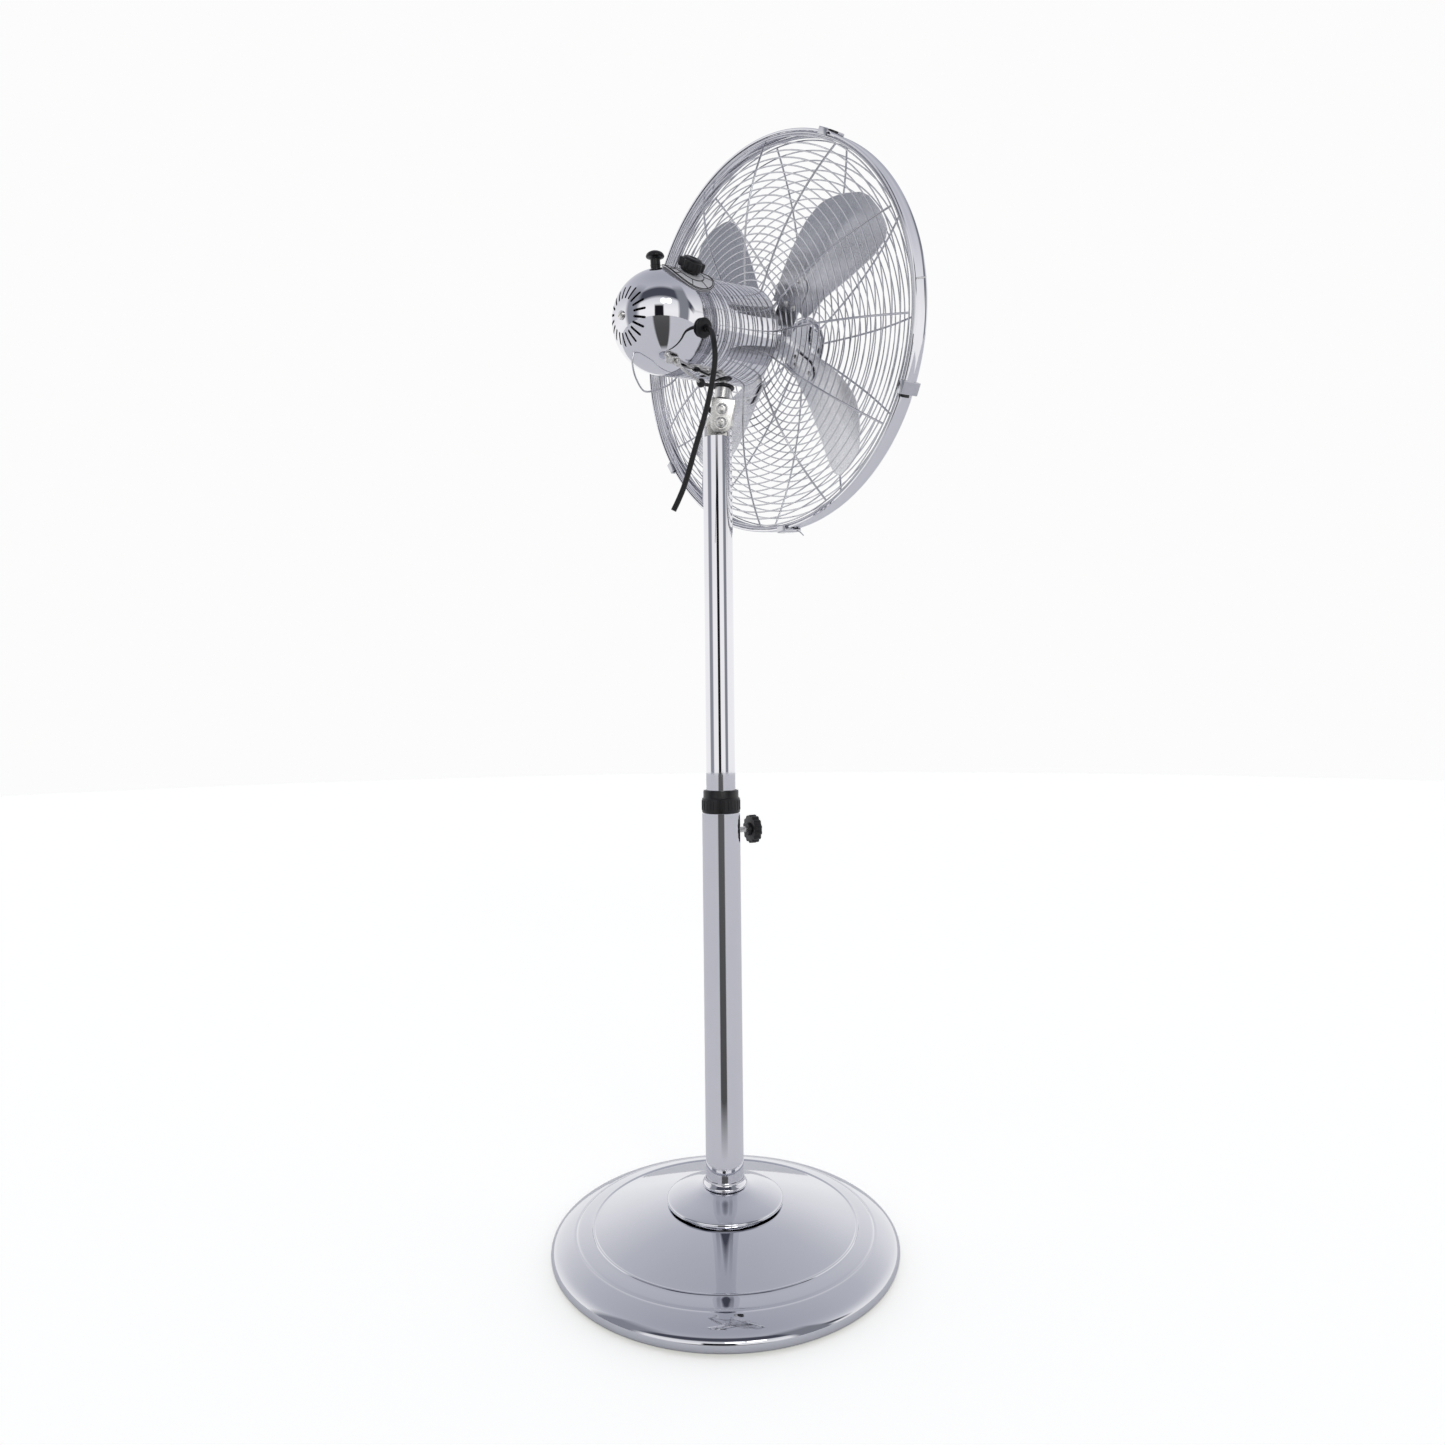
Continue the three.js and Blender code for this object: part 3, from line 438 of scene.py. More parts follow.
class GuardTree:
    """Node tree of half a wire guard: concentric rings and radial ribs on one bowed profile.

    The profile is y = start + rise * (max(0, radius - flat) / span) ** power, in the head's frame.
    """

    SIZES = ("Inner Radius", "Outer Radius", "Wire", "Rib Wire", "Rib Start", "Phase",
             "Start", "Rise", "Flat", "Span", "Power", "Bulge")

    def __init__(self) -> None:
        """Builds the tree."""
        tree = self.tree = bpy.data.node_groups.new("wire_guard", "GeometryNodeTree")
        self.sockets = {}
        for name in ("Rings", "Ribs"):
            self.sockets[name] = tree.interface.new_socket(
                name, in_out="INPUT", socket_type="NodeSocketInt").identifier
        for name in self.SIZES:
            self.sockets[name] = tree.interface.new_socket(
                name, in_out="INPUT", socket_type="NodeSocketFloat").identifier
        self.sockets["Finish"] = tree.interface.new_socket(
            "Finish", in_out="INPUT", socket_type="NodeSocketMaterial").identifier
        tree.interface.new_socket("Result", in_out="OUTPUT", socket_type="NodeSocketGeometry")
        self.given = add_node(tree, "NodeGroupInput").outputs
        rings, ribs = self._rings(), self._ribs()
        both = add_node(tree, "GeometryNodeJoinGeometry")
        tree.links.new(rings, both.inputs[0])
        tree.links.new(ribs, both.inputs[0])
        whole = add_node(tree, "GeometryNodeRealizeInstances", {"Geometry": both.outputs[0]})
        painted = add_node(tree, "GeometryNodeSetMaterial", {
            "Geometry": whole.outputs[0], "Material": self.given["Finish"]})
        add_node(tree, "NodeGroupOutput", {"Result": painted.outputs[0]})

    def _math(self, operation: str, a, b) -> bpy.types.NodeSocket:
        """One arithmetic step."""
        return add_node(self.tree, "ShaderNodeMath", {0: a, 1: b}, operation=operation).outputs[0]

    def _height(self, radius: bpy.types.NodeSocket) -> bpy.types.NodeSocket:
        """The profile's height along the fan axis at a radius."""
        g = self.given
        past = self._math("MAXIMUM", self._math("SUBTRACT", radius, g["Flat"]), 0.0)
        part = self._math("DIVIDE", past, g["Span"])
        rise = self._math("MULTIPLY", g["Rise"], self._math("POWER", part, g["Power"]))
        wave = self._math("SINE", self._math("MULTIPLY", self._math("MINIMUM", part, 1.0), math.pi),
                          0.0)
        return self._math("ADD", self._math("ADD", g["Start"], rise),
                          self._math("MULTIPLY", g["Bulge"], wave))

    def _tube(self, curve: bpy.types.NodeSocket, wire: bpy.types.NodeSocket,
              sides: int) -> bpy.types.NodeSocket:
        """A curve as round wire."""
        section = add_node(self.tree, "GeometryNodeCurvePrimitiveCircle",
                           {"Resolution": sides, "Radius": wire})
        return add_node(self.tree, "GeometryNodeCurveToMesh", {
            "Curve": curve, "Profile Curve": section.outputs[0], "Fill Caps": True}).outputs[0]

    def _rings(self) -> bpy.types.NodeSocket:
        """Evenly spaced rings from the inner to the outer radius."""
        tree, g = self.tree, self.given
        index = add_node(tree, "GeometryNodeInputIndex").outputs[0]
        share = self._math("DIVIDE", index, self._math("SUBTRACT", g["Rings"], 1.0))
        width = self._math("SUBTRACT", g["Outer Radius"], g["Inner Radius"])
        radius = self._math("ADD", g["Inner Radius"], self._math("MULTIPLY", share, width))
        centre = add_node(tree, "ShaderNodeCombineXYZ", {"Y": self._height(radius)})
        dots = add_node(tree, "GeometryNodePoints",
                        {"Count": g["Rings"], "Position": centre.outputs[0]})
        circle = add_node(tree, "GeometryNodeCurvePrimitiveCircle",
                          {"Resolution": 120, "Radius": 1.0})
        placed = add_node(tree, "GeometryNodeInstanceOnPoints", {
            "Points": dots.outputs[0], "Instance": circle.outputs[0],
            "Rotation": (math.pi / 2, 0, 0), "Scale": radius})
        loose = add_node(tree, "GeometryNodeRealizeInstances", {"Geometry": placed.outputs[0]})
        return self._tube(loose.outputs[0], g["Wire"], 6)

    def _ribs(self) -> bpy.types.NodeSocket:
        """Radial wires that follow the profile."""
        tree, g = self.tree, self.given
        inner = add_node(tree, "ShaderNodeCombineXYZ", {"X": g["Rib Start"]})
        outer = add_node(tree, "ShaderNodeCombineXYZ", {"X": g["Outer Radius"]})
        line = add_node(tree, "GeometryNodeCurvePrimitiveLine",
                        {"Start": inner.outputs[0], "End": outer.outputs[0]})
        dense = add_node(tree, "GeometryNodeResampleCurve", {"Curve": line.outputs[0], "Count": 26})
        where = add_node(tree, "ShaderNodeSeparateXYZ", {
            "Vector": add_node(tree, "GeometryNodeInputPosition").outputs[0]}).outputs["X"]
        bowed = add_node(tree, "ShaderNodeCombineXYZ", {"X": where, "Y": self._height(where)})
        bent = add_node(tree, "GeometryNodeSetPosition",
                        {"Geometry": dense.outputs[0], "Position": bowed.outputs[0]})
        wire = self._tube(bent.outputs[0], g["Rib Wire"], 8)
        dots = add_node(tree, "GeometryNodePoints", {"Count": g["Ribs"]})
        step = self._math("DIVIDE", math.tau, g["Ribs"])
        index = add_node(tree, "GeometryNodeInputIndex").outputs[0]
        angle = self._math("ADD", self._math("MULTIPLY", index, step), g["Phase"])
        spin = add_node(tree, "ShaderNodeCombineXYZ", {"Y": angle})
        return add_node(tree, "GeometryNodeInstanceOnPoints", {
            "Points": dots.outputs[0], "Instance": wire, "Rotation": spin.outputs[0]}).outputs[0]

    def make(self, name: str, finish: Finish, **sizes: float) -> bpy.types.Object:
        """Makes half a guard in the head's place.

        Args:
            name: the piece's name.
            finish: what the wire is plated with.
            **sizes: the tree's inputs by name, with underscores for spaces, lengths in metres.

        Returns:
            The piece as plain mesh.
        """
        thing = bpy.data.objects.new(name, bpy.data.meshes.new(name))
        bpy.context.scene.collection.objects.link(thing)
        mod = thing.modifiers.new("guard", "NODES")
        mod.node_group = self.tree
        mod[self.sockets["Finish"]] = finish.build()
        for key, value in sizes.items():
            mod[self.sockets[key.replace("_", " ")]] = value
        bake_modifiers(thing)
        thing.data.transform(Place.HEAD.value @ Matrix.Scale(1 / MM, 4))
        thing.data.update()
        return thing


# ------------------------------------------------------------------ stand
def lobed(radius: float, lobes: int, depth: float, steps: int) -> list[tuple[float, float]]:
    """A round outline with shallow lobes."""
    line = []
    for i in range(steps):
        a = math.tau * i / steps
        r = radius - depth * (0.5 - 0.5 * math.cos(lobes * a)) ** 1.6
        line.append((r * math.cos(a), r * math.sin(a)))
    return line


@dataclass
class Stand:
    """Weighted round base, lower tube, collar and height clamp."""

    rim: float = 193.0
    pad: float = 172.0
    tube: float = 21.2
    tube_top: float = 489.0
    knob_height: float = 468.0
    knob_angle: float = -63.9
    body: str = "base"

    def cover_profile(self) -> list[tuple[float, float]]:
        """The spun cover's section: round rim, pressed crease, bead ring, then a low dome."""
        rim = smooth_line([(190.4, 3.6), (192.3, 6.6), (self.rim, 11), (191.7, 15.4), (188, 19.4),
                           (182, 22.8), (175, 25.7), (168.2, 28)], 5)
        crease = [(166.6, 28.4), (165.6, 28.2), (164.9, 28.5), (164.2, 29.3)]
        slope = smooth_line([(162.5, 29.8), (156, 31.1), (149.2, 32.3)], 3)
        bead = smooth_line([(148, 32.6), (147.3, 33.6), (146.4, 34), (145.4, 33.7), (144.6, 33.3)],
                           3)
        dome = [(r, 33.4 + 20.8 * (1 - ((r - 60) / 84) ** 1.2)) for r in range(142, 59, -4)]
        top = [tuple(p) for part in (rim, crease, slope, bead)
               for p in part] + dome + [(22.4, 54.9)]
        under = [(22.4, 53.2), (60, 52.6), (112, 41.6), (146, 31.4), (172.4, 25.2), (185.6, 18.4),
                 (191, 10.6), (188.8, 3.6)]
        return top + under

    def build(self, repeater: Repeater) -> None:
        """Builds and dresses the whole stand."""
        row = Place.ROW.value
        pad = revolve("floor_pad_skin",
                      [(0, 0), (self.pad - 1, 0), (self.pad, 0.8), (self.pad, 2.4),
                                         (self.pad - 0.6, 3), (0, 3)], row, 128)
        dress(pad, PAD_RUBBER, self.body, "floor_pad")
        cover = revolve("base_cover_skin", self.cover_profile(), row, 192, 40)
        dress(cover, SPUN_CHROME, self.body, "base_cover")
        hub = smooth_line([(65, 55.8), (65.1, 57.4), (64.2, 59.2), (61.4, 60.6), (54, 63.1),
                           (44, 65.9), (34, 68.6), (27.2, 70.7), (24.2, 71.3)], 5)
        section = [tuple(p) for p in hub] + [(21.6, 71.3), (21.6, 70), (30, 68.2), (50, 62.6),
                                             (63.6, 57.4), (63.7, 55.8)]
        dress(revolve("hub_dome_skin", section, row, 128, 40), SPUN_CHROME, self.body, "hub_dome")
        roll = smooth_line([(21.5, 71.9), (23.6, 72.1), (24.8, 73.3), (24.8, 75.2), (23.6, 77.2),
                            (22.4, 79), (22.1, 81)], 4)
        dress(revolve("tube_foot_ring_skin", [tuple(p) for p in roll] + [(21.5, 81)], row, 96, 50),
              CHROME, self.body, "tube_foot_ring")
        wall = [(self.tube - 2, 24.4), (self.tube, 24.4), (self.tube, self.tube_top - 0.6),
                (self.tube - 0.6, self.tube_top), (self.tube - 2, self.tube_top)]
        dress(revolve("lower_tube_skin", wall, row, 96), CHROME, self.body, "lower_tube")
        self._collar(repeater)
        self._height_knob(repeater)

    def _collar(self, repeater: Repeater) -> None:
        """Black collar with a lip, a clamp slit and moulded grip ribs."""
        row = Place.ROW.value
        lip = [(16.7, 456), (18.9, 456), (18.9, 489.3), (20.8, 489.3), (21.2, 489.8), (21.3, 494),
               (21.2, 504.6),
               (20.6, 505.4), (19.9, 505.8), (19.7, 506.4), (19.7, 512.8), (19.2, 513.8),
               (18.4, 514), (16.7, 514)]
        ring = revolve("collar_skin", lip, row, 96)
        slit = prism("slit", [(14, -0.6), (24, -0.6), (24, 0.6), (14, 0.6)], 488, 516,
                     row @ turn("Z", -20), 0)
        dress(cut(ring, slit), BLACK_ABS, self.body, "collar")
        rib = revolve("rib", [(0, -5.6), (0.4, -5.4), (0.55, -4.8), (0.55, 4.8), (0.4, 5.4),
                              (0, 5.6)], Matrix.Scale(MM, 4), 8)
        places = [row @ turn("Z", a) @ shift(self.tube, 0, 497.4) for a in range(0, 360, 12)]
        dress(repeater.spread("collar_ribs", rib, places, BLACK_ABS), BLACK_ABS, self.body)

    def _height_knob(self, repeater: Repeater) -> None:
        """Scalloped clamp knob on a steel screw."""
        out = (Place.ROW.value @ shift(0, 0, self.knob_height)
               @ turn("Z", self.knob_angle) @ turn("Y", 90))
        screw = revolve("height_screw", [(0, 16.8), (2.6, 16.8), (3, 17.4), (3, 33.2), (0, 33.2)],
                        out, 32)
        dress(screw, SATIN_NICKEL, "height_clamp")
        grip = prism("grip", lobed(16, 14, 1.5, 168), 35.2, 43.8, out, 0.9)
        boss = revolve("boss", [(0, 31.6), (6.4, 31.8), (7, 32.4), (7.6, 35.6), (7.6, 38), (0, 38)],
                       out, 48)
        face = revolve("face", [(0, 43), (12.6, 43), (12.6, 44.6), (11.8, 45.3), (6, 45.3),
                                (5.2, 44.7), (0, 44.7)], out, 48)
        dress(join("height_knob_skin", [grip, boss, face]), BLACK_ABS, "height_clamp",
              "height_knob")
        ring = revolve("thread", [(3.0, -0.35), (3.3, 0), (3.0, 0.35), (2.7, 0)],
                       Matrix.Scale(MM, 4), 24)
        places = [out @ shift(0, 0, z) for z in (23.6, 24.8, 26, 27.2, 28.4, 29.6)]
        dress(repeater.spread("height_screw_thread", ring, places, SATIN_NICKEL), SATIN_NICKEL,
              "height_clamp")


@dataclass
class UpperPole:
    """Sliding tube with the tongue that the neck tilts on."""

    radius: float = 16.2
    top: float = 916.0
    body: str = "pole"

    def build(self) -> None:
        """Builds and dresses the tube and its tongue."""
        row = Place.ROW.value
        wall = [(self.radius - 2, 400), (self.radius, 400), (self.radius, self.top - 0.5),
                (self.radius - 0.5, self.top), (self.radius - 2, self.top)]
        tube = revolve("upper_tube_skin", wall, row, 96)
        for side in (-1, 1):
            x0, x1 = sorted((8.2 * side, 24 * side))
            notch = prism("notch", [(x0, -20), (x1, -20), (x1, 20), (x0, 20)], 905.6, 925, row, 0)
            tube = cut(tube, notch)
        dress(tube, CHROME, self.body, "upper_tube")
        side = row @ Matrix(((0, 0, 1, 0), (1, 0, 0, 0), (0, 1, 0, 0), (0, 0, 0, 1)))
        outline = [(-11.2, 904.8), (-11.2, 916.4), (-17.4, 917), (-17.4, 926)]
        outline += [(-5.5 + 8 * math.cos(a), 935 + 8 * math.sin(a))
                    for a in (math.pi - i * math.pi / 10 for i in range(11))]
        outline += [(11.5, 926), (13.4, 917), (11.2, 916.4), (11.2, 904.8)]
        lug = prism("tongue_skin", outline, -7.9, 7.9, side, 0.5)
        dress(lug, SATIN_NICKEL, self.body, "tongue_plug")


# ------------------------------------------------------------------ neck
@dataclass
class Neck:
    """Tilting bracket, its bolts, the post and the black swivel disc."""

    inner: float = 8.5
    outer: float = 12.5
    body: str = "neck"

    def cheek_outline(self) -> list[tuple[float, float]]:
        """Side view of a cheek, as (y, z) from the tilt pivot."""
        foot = [(-0.6 + 11.6 * math.cos(a), -16.4 + 9.8 * math.sin(a))
                for a in (math.pi + i * math.pi / 16 for i in range(17))]
        return [(12.4, 12), (-14.2, 12), (-13.6, 2), (-12.6, -10), *foot, (11.6, -10), (12, 2)]

    def build(self, repeater: Repeater) -> None:
        """Builds and dresses the neck."""
        tilt = Place.TILT.value
        side = tilt @ Matrix(((0, 0, 1, 0), (1, 0, 0, 0), (0, 1, 0, 0), (0, 0, 0, 1)))
        parts = [prism("cheek", self.cheek_outline(), low, high, side, 0.8)
                 for low, high in ((-self.outer, -self.inner), (self.inner, self.outer))]
        parts.append(prism("bridge",
                           [(-self.outer + 0.4, -14.2), (self.outer - 0.4, -14.2),
                            (self.outer - 0.4, 12.4),
                                      (-self.outer + 0.4, 12.4)], 8.6, 12, tilt, 0.6))
        dress(join("neck_bracket_skin", parts), SATIN_NICKEL, self.body, "neck_bracket")
        self._bolts(repeater)
        post = Place.NECK.value
        washer = revolve("post_washer_skin",
                         [(0, 12.3), (9, 12.3), (9.3, 12.6), (9.3, 13.3), (9, 13.6), (0, 13.6)],
                         post, 64)
        dress(washer, BLACK_ABS, self.body, "post_washer")
        neck = revolve("neck_post_skin",
                       [(0, 13.9), (8.6, 13.9), (9, 14.4), (9, 25.9), (8.6, 26.5), (5, 26.5),
                        (5, 43.5),
                                          (0, 43.5)], post, 64)
        dress(neck, SATIN_NICKEL, self.body, "neck_post")
        disc = revolve("disc", [(5.3, 26.8), (12, 26.8), (12.5, 27.3), (12.5, 28.7), (12, 29.2),
                                (5.3, 29.2)], post, 64)
        ear = prism("ear", [(-3, 11), (3, 11), (3, 15), (1.6, 16.5), (-1.6, 16.5), (-3, 15)], 26.9,
                    28.2, post, 0.3)
        dress(join("swivel_disc_skin", [disc, ear]), BLACK_ABS, self.body, "swivel_disc")

    def _bolts(self, repeater: Repeater) -> None:
        """Domed pivot bolt and the cross-recess clamp screw below it."""
        out = Place.TILT.value @ turn("Y", -90)
        head = smooth_line([(5.9, 12.8), (5.9, 13.4), (5.2, 14.6), (3.6, 15.5), (0, 15.9)], 4)
        pivot = revolve("pivot", [(0, -22), (4, -22), (4, 12.8)] + [tuple(p) for p in head[:-1]]
                        + [(0, 15.9)], out, 48)
        socket = revolve("socket", [(0, 14.4), (2.2, 14.4), (2.2, 17), (0, 17)], out, 6)
        dress(cut(pivot, socket), SATIN_NICKEL, self.body, "pivot_bolt")
        low = out @ shift(-14.9, -0.6, 0)
        screw = revolve("screw", [(0, -15.6), (4.4, -15.6), (4.4, -12.8), (2.3, -12.8), (2.3, 12.8)]
                        + [tuple(p) for p in head[:-1]] + [(0, 15.9)], low, 48)
        for spin in (20, 110):
            slot = prism("slot", [(-3.3, -0.5), (3.3, -0.5), (3.3, 0.5), (-3.3, 0.5)], 14.2, 17,
                         low @ turn("Z", spin), 0)
            screw = cut(screw, slot)
        dress(screw, SATIN_NICKEL, self.body, "tilt_screw")
        ring = revolve("rings", [(6.2, -0.2), (7.3, -0.2), (7.3, 0.25), (6.2, 0.25)],
                       Matrix.Scale(MM, 4), 40)
        places = [m @ shift(0, 0, 12.7) for m in (out, low)]
        dress(repeater.spread("bolt_washers", ring, places, SATIN_NICKEL), SATIN_NICKEL, self.body)
        side = Place.TILT.value @ Matrix(((0, 0, 1, 0), (1, 0, 0, 0), (0, 1, 0, 0), (0, 0, 0, 1)))
        hub = revolve("lever_hub",
                      [(4.3, 12.9), (7.6, 12.9), (8, 13.4), (8, 21.6), (6.8, 23.4), (4.3, 23.6)],
                      side, 48)
        arm = prism("lever_arm",
                    [(5, -2.8), (20, -2.6), (21.4, -1.4), (21.8, 0), (21.4, 1.4), (20, 2.6),
                     (5, 2.8)],
                    14.2, 19.4, side @ turn("Z", 23), 0.9)
        dress(join("tilt_lever_skin", [hub, arm]), BLACK_ABS, "tilt_clamp", "tilt_lever")


# ------------------------------------------------------------------ motor head
@dataclass
class MotorHead:
    """Bullet-shaped housing with its vents, controls, lead and oscillation linkage."""

    radius: float = 53.0
    wall: float = 2.2
    front: float = -19.5
    centre: float = 94.5
    vents: int = 20
    body: str = "head"

    def build(self, repeater: Repeater) -> None:
        """Builds and dresses everything on the motor housing."""
        self._shell(repeater)
        head = Place.HEAD.value @ ALONG_Y
        cover = revolve("front_cover_skin",
                        [(9.6, -22.2), (51.6, -22.2), (52.6, -21.4), (52.6, -19.9), (14, -19.9),
                                             (14, -17), (9.6, -17)], head, 96)
        dress(cover, CHROME, self.body, "front_cover")
        nut = revolve("nut", [(9.7, -30), (23, -30), (24.6, -29), (24.6, -25.3), (9.7, -25.3)],
                      head, 72)
        dress(nut, BLACK_ABS, self.body, "grille_nut")
        ridge = prism("ridge", [(-0.8, -2), (0.8, -2), (0.8, 2), (-0.8, 2)], 0, 1.3,
                      Matrix.Scale(MM, 4), 0.2)
        places = [head @ turn("Z", a) @ shift(24.2, 0, -27.3) @ turn("Y", 90)
                  for a in range(0, 360, 15)]
        dress(repeater.spread("grille_nut_ridges", ridge, places, BLACK_ABS), BLACK_ABS, self.body)
        self._controls()
        self._grommet()
        self._linkage()

    def _shell(self, repeater: Repeater) -> None:
        """Deep-drawn shell: a cylinder closed by a half ball, with pressed vent slots."""
        head = Place.HEAD.value @ ALONG_Y
        arc = [math.radians(90 - 90 * i / 30) for i in range(31)]
        outside = [(self.radius * math.cos(a) if i else 0, self.centre + self.radius * math.sin(a))
                   for i, a in enumerate(arc)]
        inner = self.radius - self.wall
        inside = [(inner * math.cos(a) if i else 0, self.centre + inner * math.sin(a))
                  for i, a in enumerate(arc)]
        lines = [60.0, 20.0, -10.0]
        section = outside + [(self.radius, y) for y in lines] + [
            (self.radius, self.front + 0.4), (self.radius - 0.4, self.front),
            (inner, self.front)] + inside[::-1]
        shell = revolve("housing_skin", section, head, 160)
        slot = [(17.6 + 5.2 + s * 5.2 + 1.2 * math.cos(a), 1.2 * math.sin(a))
                for s, start in ((1, -90), (-1, 90))
                for a in (math.radians(start + 22.5 * i) for i in range(9))]
        item = prism("vent", slot, -8, 8, Matrix.Scale(MM, 4), 0)
        places = [head @ turn("Z", 360 * (i + 0.25) / self.vents) @ shift(0, 0, self.centre + 47)
                  for i in range(self.vents)]
        knives = repeater.spread("vents", item, places, CHROME)
        shell = cut(shell, knives)
        self._true_normals(shell)
        dress(shell, CHROME, self.body, "housing_shell")
        screw = revolve("screw", [(0, 147.5), (4.4, 147.5), (4.6, 148.4), (3.8, 149.6), (2, 150.2),
                                  (0, 150.3)], head, 48)
        cross = prism("cross", [(-2.6, -0.4), (2.6, -0.4), (2.6, 0.4), (-2.6, 0.4)], 149.2, 152,
                      head @ turn("Z", 30), 0)
        screw = cut(screw, cross)
        dress(screw, SATIN_NICKEL, self.body, "dome_screw")

    def _true_normals(self, shell: bpy.types.Object) -> None:
        """Gives the outside its exact curved normals, so that the slots leave the mirror clean."""
        back = Place.HEAD.value.inverted()
        turned = Place.HEAD.value.to_3x3().normalized()
        mesh = shell.data
        spots = [back @ v.co for v in mesh.vertices]
        out = []
        for p in spots:
            ahead = Vector((p.x, max(0.0, p.y - self.centre), p.z))
            out.append(ahead if abs(ahead.length - self.radius) < 0.03 else None)
        normals = []
        for face in mesh.polygons:
            clean = all(out[v] is not None for v in face.vertices)
            for v in face.vertices:
                normals.append((turned @ out[v]).normalized() if clean else face.normal.copy())
        mesh.normals_split_custom_set(normals)

    def _wrap(self, u: float, v: float, angle: float, y: float, radius: float) -> Vector:
        """A flat drawing's point laid on the housing, u round it and v along it."""
        a = math.radians(angle) + u / self.radius
        return Vector((-radius * math.cos(a), y + v, radius * math.sin(a)))

    def _controls(self) -> None:
        """Speed dial with rings, ticks and numbers, its lobed knob, and the clutch plunger."""
        head = Place.HEAD.value
        angle, y = 56.0, 81.0
        rings, steps = [5.8, 12, 20, 27.6, 28.8], 96
        verts, faces = [], []
        for low in (53.6, 54.5):
            for r in rings:
                for i in range(steps):
                    a = math.tau * i / steps
                    lift = 0.35 if low > 54 and r > 28.5 else 0
                    verts.append(self._wrap(r * math.sin(a), r * math.cos(a), angle, y, low - lift))
        rows = len(rings)
        for i in range(steps):
            j = (i + 1) % steps
            for k in range(rows - 1):
                faces.append((k * steps + i, k * steps + j, (k + 1) * steps + j,
                              (k + 1) * steps + i))
                top = (rows + k) * steps
                faces.append((top + i, top + steps + i, top + steps + j, top + j))
            last = rows - 1
            faces.append((i, (rows * steps) + i, (rows * steps) + j, j))
            faces.append((last * steps + i, last * steps + j, (rows + last) * steps + j,
                          (rows + last) * steps + i))
        dress(make_object("dial_skin", verts, faces, head), DIAL_PLATE, self.body, "dial_plate")
        marks = []
        for r, thick in ((16.4, 0.5), (26.6, 0.55), (28.2, 0.4)):
            line = [self._wrap(r * math.sin(a), r * math.cos(a), angle, y, 54.5)
                    for a in (math.tau * i / 96 for i in range(96))]
            marks.append(sweep("ink_ring", line, thick, head, 8, True, 1.0))
        for i in range(8):
            a = math.tau * (i + 0.5) / 8
            line = [self._wrap(r * math.sin(a), r * math.cos(a), angle, y, 54.5)
                    for r in (17, 20, 23, 26)]
            marks.append(sweep("ink_tick", line, 0.4, head, 6))
        marks += [self._digit(text, math.tau * i / 8, angle, y) for i, text in enumerate("0123")]
        dress(join("dial_ink", marks), DIAL_INK, self.body)
        out = head @ flank(angle, y)
        grip = prism("grip", lobed(14.2, 6, 3.0, 144), 58, 66.6, out, 1.3)
        skirt = revolve("skirt", [(0, 55.2), (9.4, 55.2), (10.4, 56), (10.8, 59), (0, 59)], out, 64)
        cap = revolve("cap", [(0, 66), (10, 66), (9.8, 67.6), (8.6, 68.6), (4.6, 68.8), (3.8, 68.1),
                              (0, 68.1)], out, 64)
        dress(join("speed_knob_skin", [grip, skirt, cap]), BLACK_ABS, "speed_control", "speed_knob")
        base = head @ shift(0, 100.5, 0)
        tip = smooth_line([(5.1, 61.6), (6.8, 63), (9.2, 63.8), (9.5, 65.4), (8, 67.8), (4.6, 69.6),
                           (0, 70.4)], 4)
        ribs = [(0, 21), (5.1, 21), (5.1, 55.4), (5.4, 55.6), (5.4, 56.4), (5.1, 56.6), (5.1, 58.6)]
        knob = revolve("plunger_skin", ribs + [tuple(p) for p in tip[:-1]] + [(0, 70.4)], base, 64)
        dress(knob, BLACK_ABS, "clutch", "clutch_plunger")

    def _digit(self, text: str, where: float, angle: float, y: float) -> bpy.types.Object:
        """One dial number, laid on the curved plate."""
        curve = bpy.data.curves.new("digit", "FONT")
        curve.body, curve.size, curve.extrude = text, 9.0, 0.12
        curve.align_x, curve.align_y = "CENTER", "CENTER"
        flat = bpy.data.objects.new("digit", curve)
        bpy.context.scene.collection.objects.link(flat)
        bpy.context.view_layer.update()
        graph = bpy.context.evaluated_depsgraph_get()
        mesh = bpy.data.meshes.new_from_object(flat.evaluated_get(graph))
        bpy.data.objects.remove(flat)
        spin = Matrix.Rotation(-where, 3, "Z")
        for v in mesh.vertices:
            p = spin @ Vector((v.co.x, v.co.y + 21.4, 0))
            v.co = Place.HEAD.value @ self._wrap(p.x, p.y, angle, y, 54.62 + v.co.z)
        return make_from_mesh("digit", mesh)

    def _grommet(self) -> None:
        """Round moulded grommet that the lead leaves through."""
        out = Place.HEAD.value @ flank(-15.7, 83.5)
        body = smooth_line([(10, 53.5), (10.1, 55), (9.4, 56.6), (7.6, 57.7), (5.4, 58), (3.4, 58)],
                           4)
        section = [(3.1, 46), (6.6, 46), (6.6, 53.4)] + [tuple(p) for p in body] + [(3.1, 57.8)]
        dress(revolve("cord_grommet_skin", section, out, 64, 40), BLACK_PVC, self.body,
              "cord_grommet")

